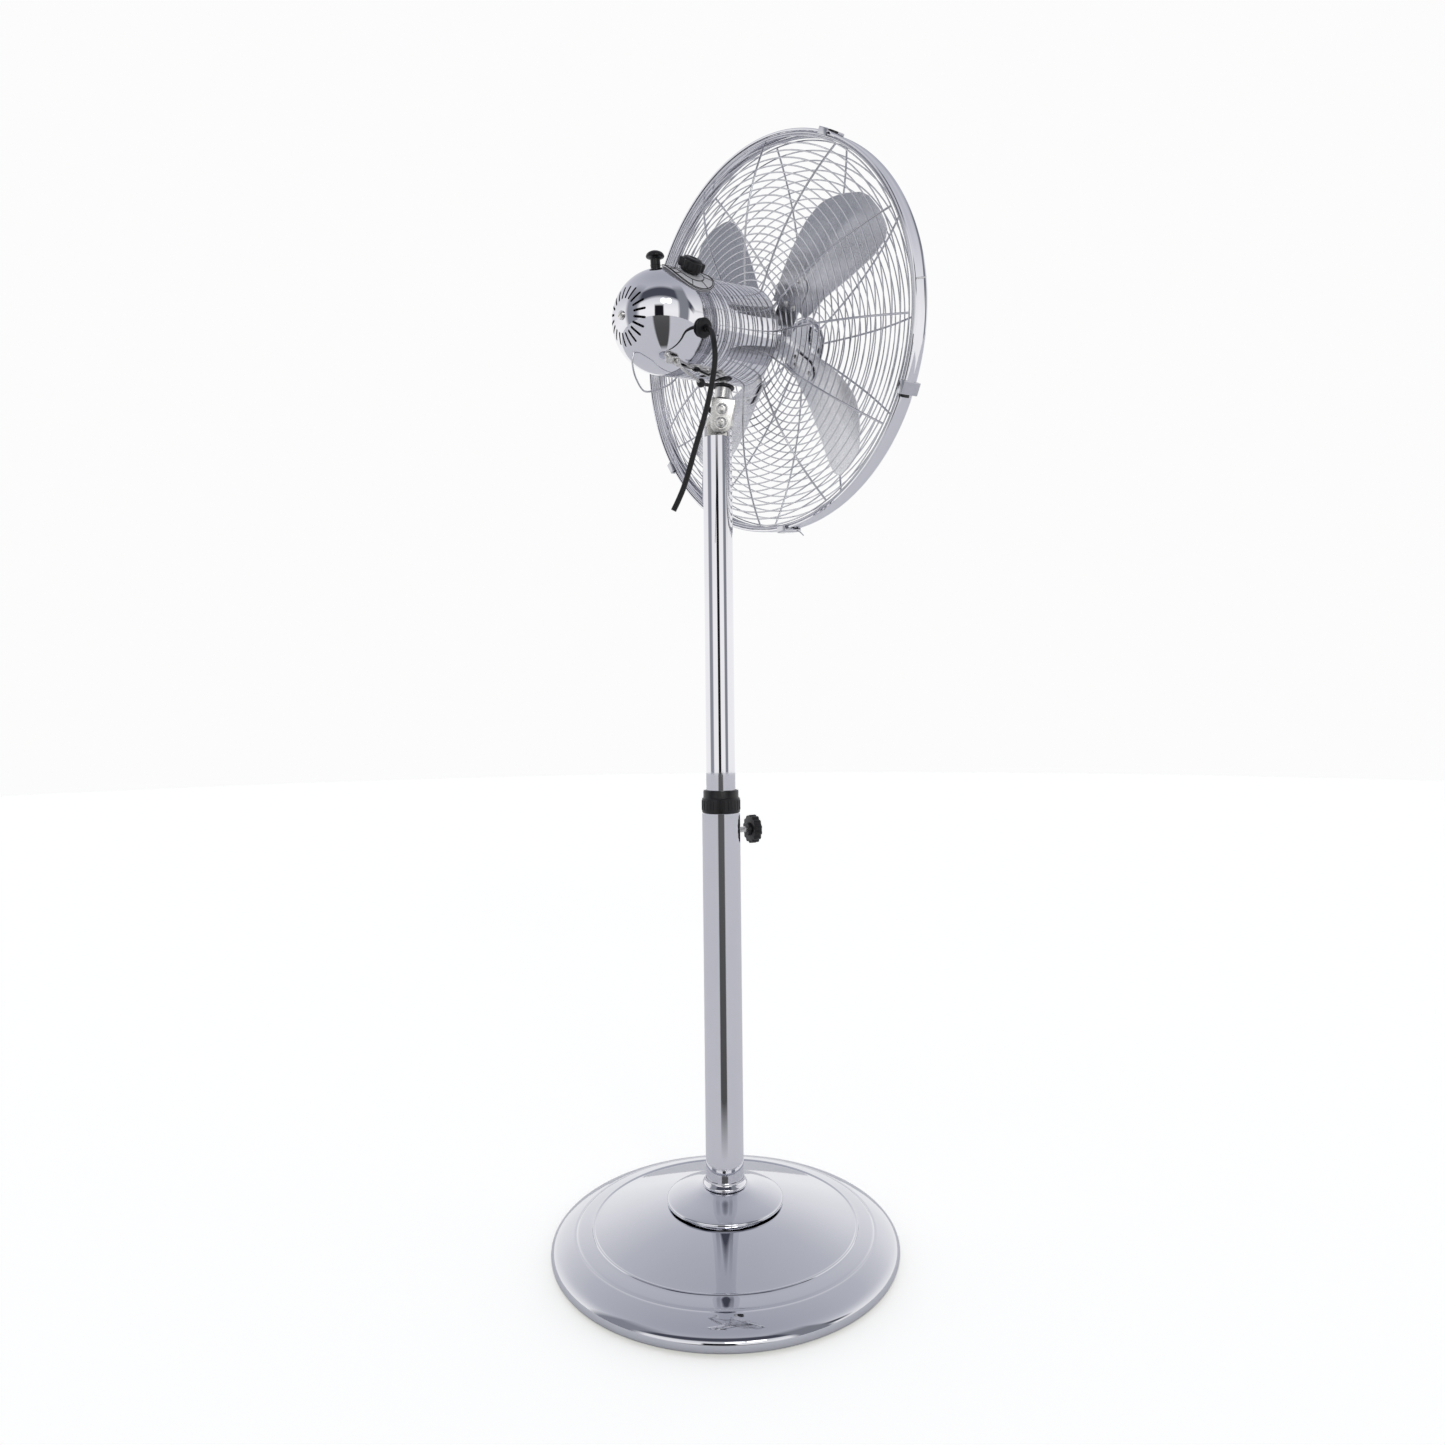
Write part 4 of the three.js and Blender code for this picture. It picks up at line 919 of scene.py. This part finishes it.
    def _linkage(self) -> None:
        """Wire cord hook, crank and link rod."""
        head = Place.HEAD.value
        hook = [(0, 134.6, -35), (0, 137, -45), (0, 134.4, -58), (0, 127, -69.6), (0, 120, -72.4),
                (0, 108, -69.4), (0, 92, -63.6), (0, 82, -57), (0, 79, -53.9)]
        dress(sweep("cord_hook_skin", smooth_line(hook, 8), 0.95, head, 10), WIRE_CHROME, self.body,
              "cord_hook")
        out = head @ flank(-55, 113.5)
        arm = [(4.4 * math.cos(a), 4.4 * math.sin(a))
               for a in (math.pi * i / 12 for i in range(13))]
        arm += [(4.4 * math.cos(a), -9 + 4.4 * math.sin(a))
                for a in (math.pi + math.pi * i / 12 for i in range(13))]
        parts = [prism("crank_arm", arm, 54, 56.2, out, 0.4)]
        parts.append(revolve("crank_head",
                             [(0, 44), (3, 44), (3, 56), (3.5, 56), (3.4, 56.4), (0, 56.5)], out,
                             32))
        dress(join("crank_skin", parts), SATIN_NICKEL, "crank", "crank_lever")
        a = math.radians(-55)
        pin = (-58.4 * math.cos(a), 104.5, 58.4 * math.sin(a))
        rod = sweep("rod", smooth_line([pin, (-29.5, 92, -53.5), (-21, 70, -57.5), (-17, 61, -60)],
                                       8), 1.5, head, 12)
        eye = revolve("eye", [(0, 56.6), (3.3, 56.6), (3.6, 57), (3.6, 59.8), (2.6, 60.6),
                              (0, 60.8)],
                      head @ flank(-55, 104.5), 32)
        dress(join("link_rod_skin", [rod, eye]), SATIN_NICKEL, "linkage", "link_rod")
        ball = smooth_line([(0, -4.6), (3, -3.9), (4.5, -1.6), (4.5, 1.6), (3, 3.9), (0, 4.6)], 4)
        joint = revolve("joint", [(max(0.0, p[0]) if 0 < i < len(ball) - 1 else 0, p[1])
                                  for i, p in enumerate(ball)],
                        head @ shift(-16, 58.6, -60.2) @ turn("Y", 20), 32)
        tail = sweep("tail", smooth_line([(-15.6, 57, -60.4), (-11, 46, -60), (-8, 37, -59.6)], 6),
                     1.9, head, 12)
        dress(join("link_joint", [joint, tail]), BLACK_ABS, "linkage")


@dataclass
class Lead:
    """The black lead that hangs from the grommet and ends cut."""

    diameter: float = 5.6
    body: str = "head"
    route: list[Point] = field(default_factory=lambda: [
        (-70.5, 88, -24.5), (-77.5, 92.5, -34), (-80.6, 94.5, -45), (-80.6, 95.3, -55),
        (-78.8, 98.4, -74.6),
        (-75.3, 104.9, -101.7), (-69.6, 115.5, -136.4), (-63.8, 126.1, -171.3),
        (-60, 132.3, -187.4), (-56.3, 137.2, -198.9)])

    def build(self) -> None:
        start = [flank(-15.7, 83.5) @ Vector((0, 0, rho)) for rho in (58.3, 63)]
        line = [Place.HEAD.value @ p
                for p in smooth_line([tuple(p) for p in start] + self.route, 4)]
        curve = bpy.data.curves.new("power_lead", "CURVE")
        curve.dimensions = "3D"
        curve.bevel_depth, curve.bevel_resolution = self.diameter * MM / 2, 6
        curve.use_fill_caps = True
        spline = curve.splines.new("POLY")
        spline.points.add(len(line) - 1)
        for spot, p in zip(spline.points, line):
            spot.co = (*p, 1)
        lead = bpy.data.objects.new("power_lead", curve)
        bpy.context.scene.collection.objects.link(lead)
        curve.materials.append(BLACK_PVC.build())
        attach(lead, self.body)
        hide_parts("power_cord")


# ------------------------------------------------------------------ guard and blades
@dataclass
class Guard:
    """Two bowed wire halves in a bright rim band, held by sprung clips."""

    radius: float = 216.0
    wall: float = 2.4
    rear: float = -53.0
    front: float = -73.0
    clips: dict[str, tuple[str, float]] = field(default_factory=lambda: {
        "top": ("clip_a", 62.0), "side": ("clip_b", -23.0), "bottom": ("clip_c", -84.0),
        "far": ("clip_d", -145.0)})
    body: str = "head"

    def build(self) -> None:
        """Builds and dresses the guard, its badge and its clips."""
        head = Place.HEAD.value @ ALONG_Y
        r = self.radius
        band = revolve("rim_band_skin", [
            (r - self.wall, self.rear), (r - 0.9, self.rear), (r - 0.2, self.rear - 0.5),
            (r, self.rear - 1.4),
            (r - 1.0, self.rear - 3), (r - 1.1, self.rear - 7), (r - 0.4, self.rear - 10),
            (r - 1.1, self.front + 7),
            (r - 1.0, self.front + 3), (r, self.front + 1.4), (r - 0.2, self.front + 0.5),
            (r - 0.9, self.front), (r - self.wall, self.front)], head, 256)
        dress(band, CHROME, self.body, "rim_band")
        tree = GuardTree()
        edge = r - self.wall - 2.1
        rear = tree.make("rear_rings", WIRE_CHROME, Rings=21, Ribs=12, Inner_Radius=0.052,
                         Outer_Radius=0.2085,
                         Wire=0.00078, Rib_Wire=0.0011, Rib_Start=0.047, Phase=math.radians(-4),
                         Start=-0.0238, Rise=-0.030, Flat=0.05, Span=0.161, Power=2.4, Bulge=0.004)
        front = tree.make("front_rings", WIRE_CHROME, Rings=21, Ribs=12, Inner_Radius=0.034,
                          Outer_Radius=0.2085,
                          Wire=0.00078, Rib_Wire=0.0011, Rib_Start=0.03, Phase=math.radians(-3),
                          Start=-0.118, Rise=0.046, Flat=0.0, Span=0.211, Power=2.6, Bulge=0.0)
        plate = revolve("plate", [(27, -24.9), (49.4, -24.9), (50, -24.3), (50, -23), (49.4, -22.5),
                                  (27, -22.5)], head, 96)
        hoops = [revolve("hoop", self._wire(rad, y, 1.75), head, 200, 80)
                 for rad, y in ((edge, -55.2),)]
        dress(join("rear_grille_skin", [rear, plate, *hoops], 60), WIRE_CHROME, self.body,
              "rear_grille")
        hoops = [revolve("hoop", self._wire(rad, y, w), head, 200, 80)
                 for rad, y, w in ((edge, -70.8, 1.75), (30, -117.8, 1.4))]
        dress(join("front_grille_skin", [front, *hoops], 60), WIRE_CHROME, self.body,
              "front_grille")
        face = smooth_line([(0, -123.4), (14, -123), (26, -121.8), (32, -120.5), (33, -119.9)], 5)
        badge = revolve("front_badge_skin",
                        [(0, -123.4)] + [tuple(p) for p in face[1:]] + [(33, -119.4), (0, -119.4)],
                        head, 96)
        dress(badge, SPUN_CHROME, self.body, "front_badge")
        self._clips()
        weld = sweep("rim_weld",
                     [self._rim(5 + d, r + 0.1, y) for d, y in ((-0.5, -55), (0, -63), (0.5, -71))],
                     0.9, Place.HEAD.value, 10, False, 0.5)
        dress(weld, SATIN_NICKEL, self.body)

    def _wire(self, radius: float, y: float, half: float) -> list[tuple[float, float]]:
        """Round section of a hoop."""
        return [(radius + half * math.cos(a), y + half * math.sin(a))
                for a in (math.tau * i / 10 for i in range(10))]

    def _rim(self, angle: float, radius: float, y: float) -> Vector:
        """A point near the rim band."""
        a = math.radians(angle)
        return Vector((-radius * math.cos(a), y, radius * math.sin(a)))

    def _clips(self) -> None:
        """Pressed steel clips, the lowest with a rubber pad and a bent wire tab."""
        r, rear, front = self.radius, self.rear, self.front
        outline = [(r - 4.4, rear + 3.4), (r + 2, rear + 3.4), (r + 2.6, rear + 2.8),
                   (r + 3, front - 2.6),
                   (r + 2.4, front - 3.4), (r - 4.4, front - 3.4), (r - 4.4, front - 1.8),
                   (r + 0.6, front - 1.8), (r + 0.6, rear + 1.4), (r - 4.4, rear + 1.4)]
        for name, (body, angle) in self.clips.items():
            a = math.radians(angle)
            out, along = Vector((-math.cos(a), 0, math.sin(a))), Vector((0, 1, 0))
            place = Place.HEAD.value @ Matrix((out, along, out.cross(along))).transposed().to_4x4()
            clip = prism(f"clip_{name}_skin", outline, -6.5, 6.5, place, 0.35)
            dress(clip, WIRE_CHROME, body, f"clip_{name}")
            pad = prism(f"clip_{name}_pad",
                        [(r + 0.7, rear), (r + 2.5, rear), (r + 2.7, front + 9),
                         (r + 0.7, front + 9)],
                        6.6, 9.4, place, 0.3)
            dress(pad, BLACK_PVC, body)
            if name == "bottom":
                tab = smooth_line([(r + 2.2, -70, -7.1), (r + 5, -74, -8), (r + 8.4, -77, -9)], 6)
                dress(sweep("clip_bottom_tab", [tuple(p) for p in tab], 0.7, place, 8), WIRE_CHROME,
                      body)


@dataclass
class FanBlades:
    """Four twisted sheet-metal blades riveted to a pressed spider."""

    count: int = 4
    first: float = 52.0
    half: float = 0.55
    rear_edge: list[Point] = field(default_factory=lambda: [
        (44, 26), (70, 18), (100, 13), (130, 9), (150, 5), (160, 2)])
    front_edge: list[Point] = field(default_factory=lambda: [
        (44, -26), (76, -24), (112, -26), (150, -27), (172, -26), (184, -23)])
    body: str = "fan"

    def height(self, rho: float, angle: float) -> float:
        """Position of the blade surface along the fan axis."""
        arc = math.radians(rho * (angle + 5))
        return -76 + 0.04 * rho + arc * (0.62 - 0.0025 * rho) - 0.0008 * arc * arc

    def spot(self, rho: float, angle: float, base: float, lift: float = 0.0) -> Vector:
        """A point on a blade or at a lift above it."""
        a = math.radians(base + angle)
        return Vector((-rho * math.cos(a), self.height(max(rho, 30), angle) + lift,
                       rho * math.sin(a)))

    def _along(self, edge: Sequence[Point], u: float) -> Vector:
        """A point on a blade's edge as (radius, angle)."""
        t = u * (len(edge) - 1)
        i = min(len(edge) - 2, int(t))
        return Vector(edge[i]).lerp(Vector(edge[i + 1]), t - i)

    def _sheet(self, name: str, at: Callable[[float, float, float], Vector], nu: int,
               nv: int) -> bpy.types.Object:
        """A closed sheet whose two faces are at(u, v, side)."""
        verts = [at(i / nu, j / nv, side) for side in (-1, 1) for i in range(nu + 1)
                 for j in range(nv + 1)]
        n = (nu + 1) * (nv + 1)
        faces = []
        for i in range(nu):
            for j in range(nv):
                k = i * (nv + 1) + j
                quad = (k, k + nv + 1, k + nv + 2, k + 1)
                faces += [quad, tuple(n + q for q in quad[::-1])]
        border = [j for j in range(nv)] + [i * (nv + 1) + nv for i in range(nu)]
        border += [nu * (nv + 1) + j for j in range(nv, 0, -1)] + [i * (nv + 1)
                for i in range(nu, 0, -1)]
        faces += [(a, b, n + b, n + a) for a, b in zip(border, border[1:] + border[:1])]
        return make_object(name, verts, faces, Place.HEAD.value, 50)

    def build(self, repeater: Repeater) -> None:
        """Builds and dresses the blades, spider, rivets, hub and nut."""
        head = Place.HEAD.value @ ALONG_Y
        arms, rivets = [], []
        for n in range(self.count):
            base = self.first - 360 / self.count * n

            def blade(u: float, v: float, side: float, base: float = base) -> Vector:
                edge = 1 - 0.86 * max(0.0, (u - 0.9) / 0.1) ** 3
                w = 0.5 + (v - 0.5) * edge
                a, b = self._along(self.rear_edge, u), self._along(self.front_edge, u)
                p = a.lerp(b, w)
                rho = p.x + 48 * w * (1 - w) * u ** 6
                rib = 0.9 * math.exp(-((w - 0.5) / 0.1) ** 2) * math.sin(math.pi * min(1, u * 1.15))
                return self.spot(rho, p.y, base, side * self.half + rib)

            def arm(u: float, v: float, side: float, base: float = base) -> Vector:
                rho = 13 + 66 * u
                wide = 11.5 if u < 0.82 else 11.5 * math.sqrt(
                    max(0.02, 1 - ((u - 0.82) / 0.18) ** 2))
                angle = (2 * v - 1) * min(math.degrees(wide / rho), 38)
                return self.spot(rho, angle, base, 2.4 + side * 0.6)

            dress(self._sheet(f"blade_{n + 1}_skin", blade, 48, 30), ROLLED_ALUMINIUM, self.body,
                  f"blade_{n + 1}")
            arms.append(self._sheet("arm", arm, 22, 8))
            for rho in (44, 73):
                for angle in ((-6, 6) if rho == 44 else (0,)):
                    p = self.spot(rho, angle, base, 2.9)
                    rivets.append(Place.HEAD.value @ Matrix.Translation(p) @ ALONG_Y)
        hub = revolve("hub", [(4.4, -82), (15.4, -82), (17, -80.6), (17.2, -70), (19, -66.4),
                              (17, -60), (4.4, -60)], head, 72)
        dress(join("spider_skin", [hub, *arms], 40), ROLLED_ALUMINIUM, self.body, "blade_spider")
        dome = smooth_line([(3.4, 0), (3.2, 0.9), (2.2, 1.7), (0, 2)], 3)
        item = revolve("rivet", [(0, -0.6), (3.4, -0.6)] + [tuple(p) for p in dome[:-1]] + [(0, 2)],
                       Matrix.Scale(MM, 4), 20)
        dress(repeater.spread("blade_rivets", item, rivets, SATIN_NICKEL), SATIN_NICKEL, self.body)
        nut = prism("nut", [(8.4 * math.cos(a), 8.4 * math.sin(a))
                            for a in (math.tau * i / 6 for i in range(6))],
                    -88, -82.4, head, 0.5)
        bore = revolve("bore", [(0, -90), (4.2, -90), (4.2, -80), (0, -80)], head, 32)
        dress(cut(nut, bore), SATIN_NICKEL, self.body, "hub_nut")


# ------------------------------------------------------------------ inner CAD pieces
INNER = {
    CAST_IRON: ("ballast_disc",),
    DARK_STEEL: ("clamp_bolt", "tube_foot_plug", "motor_stator", "gearbox_case", "motor_shaft",
                 "motor_rotor"),
    COPPER: ("front_winding", "rear_winding"),
    BRONZE: ("front_bearing", "rear_bearing", "neck_bush", "worm"),
    NYLON: ("guide_sleeve", "worm_wheel"),
    ROLLED_ALUMINIUM: ("rear_bracket",),
    BLACK_ABS: ("speed_switch",),
}


def dress_inner() -> None:
    """Gives the CAD pieces that stay their finishes."""
    for finish, names in INNER.items():
        for name in names:
            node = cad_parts[name]
            if not node.material_slots:
                node.data.materials.append(None)
            for holder in node.material_slots:
                holder.material = finish.build()
            LOG.info("%s, %s", name, finish.name)


# ------------------------------------------------------------------ studio
@dataclass
class Studio:
    """Camera, pale floor and a soft light tent with dark gaps that the chrome reflects."""

    eye: tuple[float, float, float] = (-1.1, -0.0026, 0.5979)
    pitch: float = 0.0079
    roll: float = 0.0105
    lens: float = 24.515
    sensor: float = 36.0
    floor_radius: float = 9000.0
    floor_depth: float = 4.0
    glow_seen: float = 0.47
    glow_reflected: float = 0.05
    shade_spread: tuple[float, float] = (0.3, 0.38)
    shade_reach: tuple[float, float] = (-0.45, -0.25)

    def build(self) -> None:
        """Sets the camera, floor and light."""
        self._camera()
        self._floor()
        self._tent()
        bpy.context.scene.view_settings.view_transform = "Standard"

    def _camera(self) -> None:
        """Level camera in front of the -X side."""
        data = bpy.data.cameras.new("camera")
        data.lens, data.sensor_width, data.clip_start = self.lens, self.sensor, 0.01
        camera = bpy.data.objects.new("camera", data)
        ahead = Vector((math.cos(self.pitch), 0, -math.sin(self.pitch)))
        right, up = Vector((0, -1, 0)), Vector((math.sin(self.pitch), 0, math.cos(self.pitch)))
        leaned = up * math.cos(self.roll) + right * math.sin(self.roll)
        across = right * math.cos(self.roll) - up * math.sin(self.roll)
        frame_of = Matrix((across, leaned, -ahead)).transposed().to_4x4()
        camera.matrix_world = Matrix.Translation(self.eye) @ frame_of
        bpy.context.scene.collection.objects.link(camera)
        bpy.context.scene.camera = camera

    def _floor(self) -> None:
        """Pale floor, brighter to the eye than in reflections, with a dark patch seen only in them.

        The patch is a wedge on the lens side: shade_spread is the slope of its soft edges, and
        shade_reach is where along X, in metres, it fades out.
        """
        mat = bpy.data.materials.new("pale_floor")
        mat.use_nodes = True
        tree = mat.node_tree
        tree.nodes.clear()
        seen = add_node(tree, "ShaderNodeLightPath").outputs["Is Camera Ray"]
        power = add_node(tree, "ShaderNodeMapRange", {
            "Value": seen, "To Min": self.glow_reflected, "To Max": self.glow_seen})
        # the shaded floor on the lens side, which only the chrome sees
        spot = add_node(tree, "ShaderNodeSeparateXYZ", {
            "Vector": add_node(tree, "ShaderNodeTexCoord").outputs["Object"]})
        across = add_node(tree, "ShaderNodeMath", {0: spot.outputs["Y"], 1: spot.outputs["X"]},
                          operation="DIVIDE")
        narrow = add_node(tree, "ShaderNodeMath", {0: across.outputs[0]}, operation="ABSOLUTE")
        inside = add_node(tree, "ShaderNodeMapRange", {
            "Value": narrow.outputs[0], "From Min": self.shade_spread[0],
            "From Max": self.shade_spread[1], "To Min": 1.0, "To Max": 0.0})
        lens_side = add_node(tree, "ShaderNodeMapRange", {
            "Value": spot.outputs["X"], "From Min": self.shade_reach[0],
            "From Max": self.shade_reach[1], "To Min": 1.0, "To Max": 0.0})
        both_ways = add_node(tree, "ShaderNodeMath",
                             {0: inside.outputs[0], 1: lens_side.outputs[0]}, operation="MULTIPLY")
        unseen = add_node(tree, "ShaderNodeMath", {0: 1.0, 1: seen}, operation="SUBTRACT")
        shade = add_node(tree, "ShaderNodeMath", {0: both_ways.outputs[0], 1: unseen.outputs[0]},
                         operation="MULTIPLY")
        paint = add_node(tree, "ShaderNodeMix", {
            0: shade.outputs[0], 6: linear("FAFAFB"), 7: linear("26262B")}, data_type="RGBA")
        shine = add_node(tree, "ShaderNodeBsdfPrincipled",
                         {"Base Color": paint.outputs[2], "Roughness": 0.9})
        glow = add_node(tree, "ShaderNodeEmission",
                        {"Color": linear("FFFFF6"), "Strength": power.outputs[0]})
        both = add_node(tree, "ShaderNodeAddShader", {0: shine.outputs[0], 1: glow.outputs[0]})
        add_node(tree, "ShaderNodeOutputMaterial", {"Surface": both.outputs[0]})
        floor = revolve("floor", [(0, 0), (self.floor_radius, 0),
                                  (self.floor_radius, -self.floor_depth),
                                  (0, -self.floor_depth)], Place.ROW.value, 96)
        floor.data.materials.append(mat)

    def _tent(self) -> None:
        """World light: an even pale tent for the eye, with panels that only reflections see."""
        world = bpy.data.worlds.new("light_tent")
        bpy.context.scene.world = world
        world.use_nodes = True
        tree = world.node_tree
        tree.nodes.clear()
        way = add_node(tree, "ShaderNodeTexCoord").outputs["Generated"]
        parts = add_node(tree, "ShaderNodeSeparateXYZ", {"Vector": way})
        height = add_node(tree, "ShaderNodeMapRange",
                          {"Value": parts.outputs["Z"], "From Min": -1.0, "From Max": 1.0})
        sky = add_node(tree, "ShaderNodeValToRGB", {"Fac": height.outputs[0]})
        ramp = sky.color_ramp
        stops = [(0.0, "F4F4F6"), (0.4, "FAFAFB"), (0.55, "FFFFFF"), (0.68, "F0F0F3"),
                 (0.84, "C9CAD2"), (1.0, "AEB0BA")]
        while len(ramp.elements) < len(stops):
            ramp.elements.new(0.5)
        for element, (spot, code) in zip(ramp.elements, stops):
            element.position, element.color = spot, linear(code)
        colour = sky.outputs[0]
        for panel in PANELS:
            colour = panel.paint(tree, way, colour)
        seen = add_node(tree, "ShaderNodeLightPath").outputs["Is Camera Ray"]
        reflected = add_node(tree, "ShaderNodeBackground", {"Color": colour, "Strength": 1.0})
        plain = add_node(tree, "ShaderNodeBackground", {"Color": linear("FCFCFC"), "Strength": 1.0})
        mixed = add_node(tree, "ShaderNodeMixShader",
                         {0: seen, 1: reflected.outputs[0], 2: plain.outputs[0]})
        add_node(tree, "ShaderNodeOutputWorld", {"Surface": mixed.outputs[0]})


@dataclass(frozen=True)
class Panel:
    """A rectangle or disc of light or dark cloth in the tent, placed by direction.

    Bearing is degrees from +X towards +Y, height is degrees above the horizon, and wide and tall
    are half sizes in degrees.
    """

    bearing: float
    height: float
    wide: float
    tall: float
    code: str
    power: float = 1.0
    soft: float = 0.06
    round: bool = False

    def paint(self, tree: bpy.types.NodeTree, way: bpy.types.NodeSocket,
              under: bpy.types.NodeSocket) -> bpy.types.NodeSocket:
        """Lays the panel over the colour so far.

        Args:
            tree: the world's tree.
            way: the direction looked in.
            under: the colour that shows outside the panel.

        Returns:
            The colour with the panel on it.
        """
        b, h = math.radians(self.bearing), math.radians(self.height)
        out = Vector((math.cos(h) * math.cos(b), math.cos(h) * math.sin(b), math.sin(h)))
        side = Vector((-math.sin(b), math.cos(b), 0))
        up = out.cross(side)
        ahead = add_node(tree, "ShaderNodeVectorMath", {0: way, 1: tuple(out)},
                         operation="DOT_PRODUCT").outputs["Value"]
        edges = []
        for axis, half in ((side, self.wide), (up, self.tall)):
            dot = add_node(tree, "ShaderNodeVectorMath", {0: way, 1: tuple(axis)},
                           operation="DOT_PRODUCT").outputs["Value"]
            flat = add_node(tree, "ShaderNodeMath", {0: dot, 1: ahead},
                            operation="DIVIDE").outputs[0]
            size = add_node(tree, "ShaderNodeMath", {0: flat, 1: math.tan(math.radians(half))},
                            operation="DIVIDE")
            edges.append(add_node(tree, "ShaderNodeMath", {0: size.outputs[0]},
                                  operation="ABSOLUTE").outputs[0])
        if self.round:
            squares = [add_node(tree, "ShaderNodeMath", {0: e, 1: 2.0},
                                operation="POWER").outputs[0] for e in edges]
            total = add_node(tree, "ShaderNodeMath", {0: squares[0], 1: squares[1]},
                             operation="ADD").outputs[0]
        else:
            total = add_node(tree, "ShaderNodeMath", {0: edges[0], 1: edges[1]},
                             operation="MAXIMUM").outputs[0]
        inside = add_node(tree, "ShaderNodeMapRange", {
            "Value": total, "From Min": 1 - self.soft, "From Max": 1 + self.soft, "To Min": 1.0,
            "To Max": 0.0})
        facing = add_node(tree, "ShaderNodeMath", {0: ahead, 1: 0.05}, operation="GREATER_THAN")
        mask = add_node(tree, "ShaderNodeMath", {0: inside.outputs[0], 1: facing.outputs[0]},
                        operation="MULTIPLY")
        shade = tuple(c * self.power for c in linear(self.code)[:3]) + (1.0,)
        mix = add_node(tree, "ShaderNodeMix", {0: mask.outputs[0], 6: under, 7: shade},
                       data_type="RGBA")
        return mix.outputs[2]


PANELS = (
    # dark cloth behind the lens, seen as the long stripe down the tubes
    Panel(176, -8, 10, 24, "1B1B20", soft=0.12),
    # the gap above the lights, seen across the top of the housing
    Panel(180, 46, 70, 12, "4A4C57", soft=0.3),
    # grey flags either side of the lens
    Panel(-128, 10, 12, 46, "85878F", soft=0.25),
    Panel(112, 4, 16, 50, "8F919A", soft=0.3),
    # two bare lamps beside the lens
    Panel(-162, 25, 5.6, 5.6, "FFFFFF", power=4.0, soft=0.06, round=True),
    Panel(-175, 25, 5.6, 5.6, "FFFFFF", power=4.0, soft=0.06, round=True),
)


def main() -> None:
    """Builds the fan in order, from the camera and lead to the blades."""
    logging.basicConfig(level=logging.INFO, format="%(name)s: %(message)s")
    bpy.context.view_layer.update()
    Studio().build()
    Lead().build()
    repeater = Repeater()
    Stand().build(repeater)
    UpperPole().build()
    Neck().build(repeater)
    MotorHead().build(repeater)
    Guard().build()
    FanBlades().build(repeater)
    dress_inner()


if __name__ == "__main__":
    main()
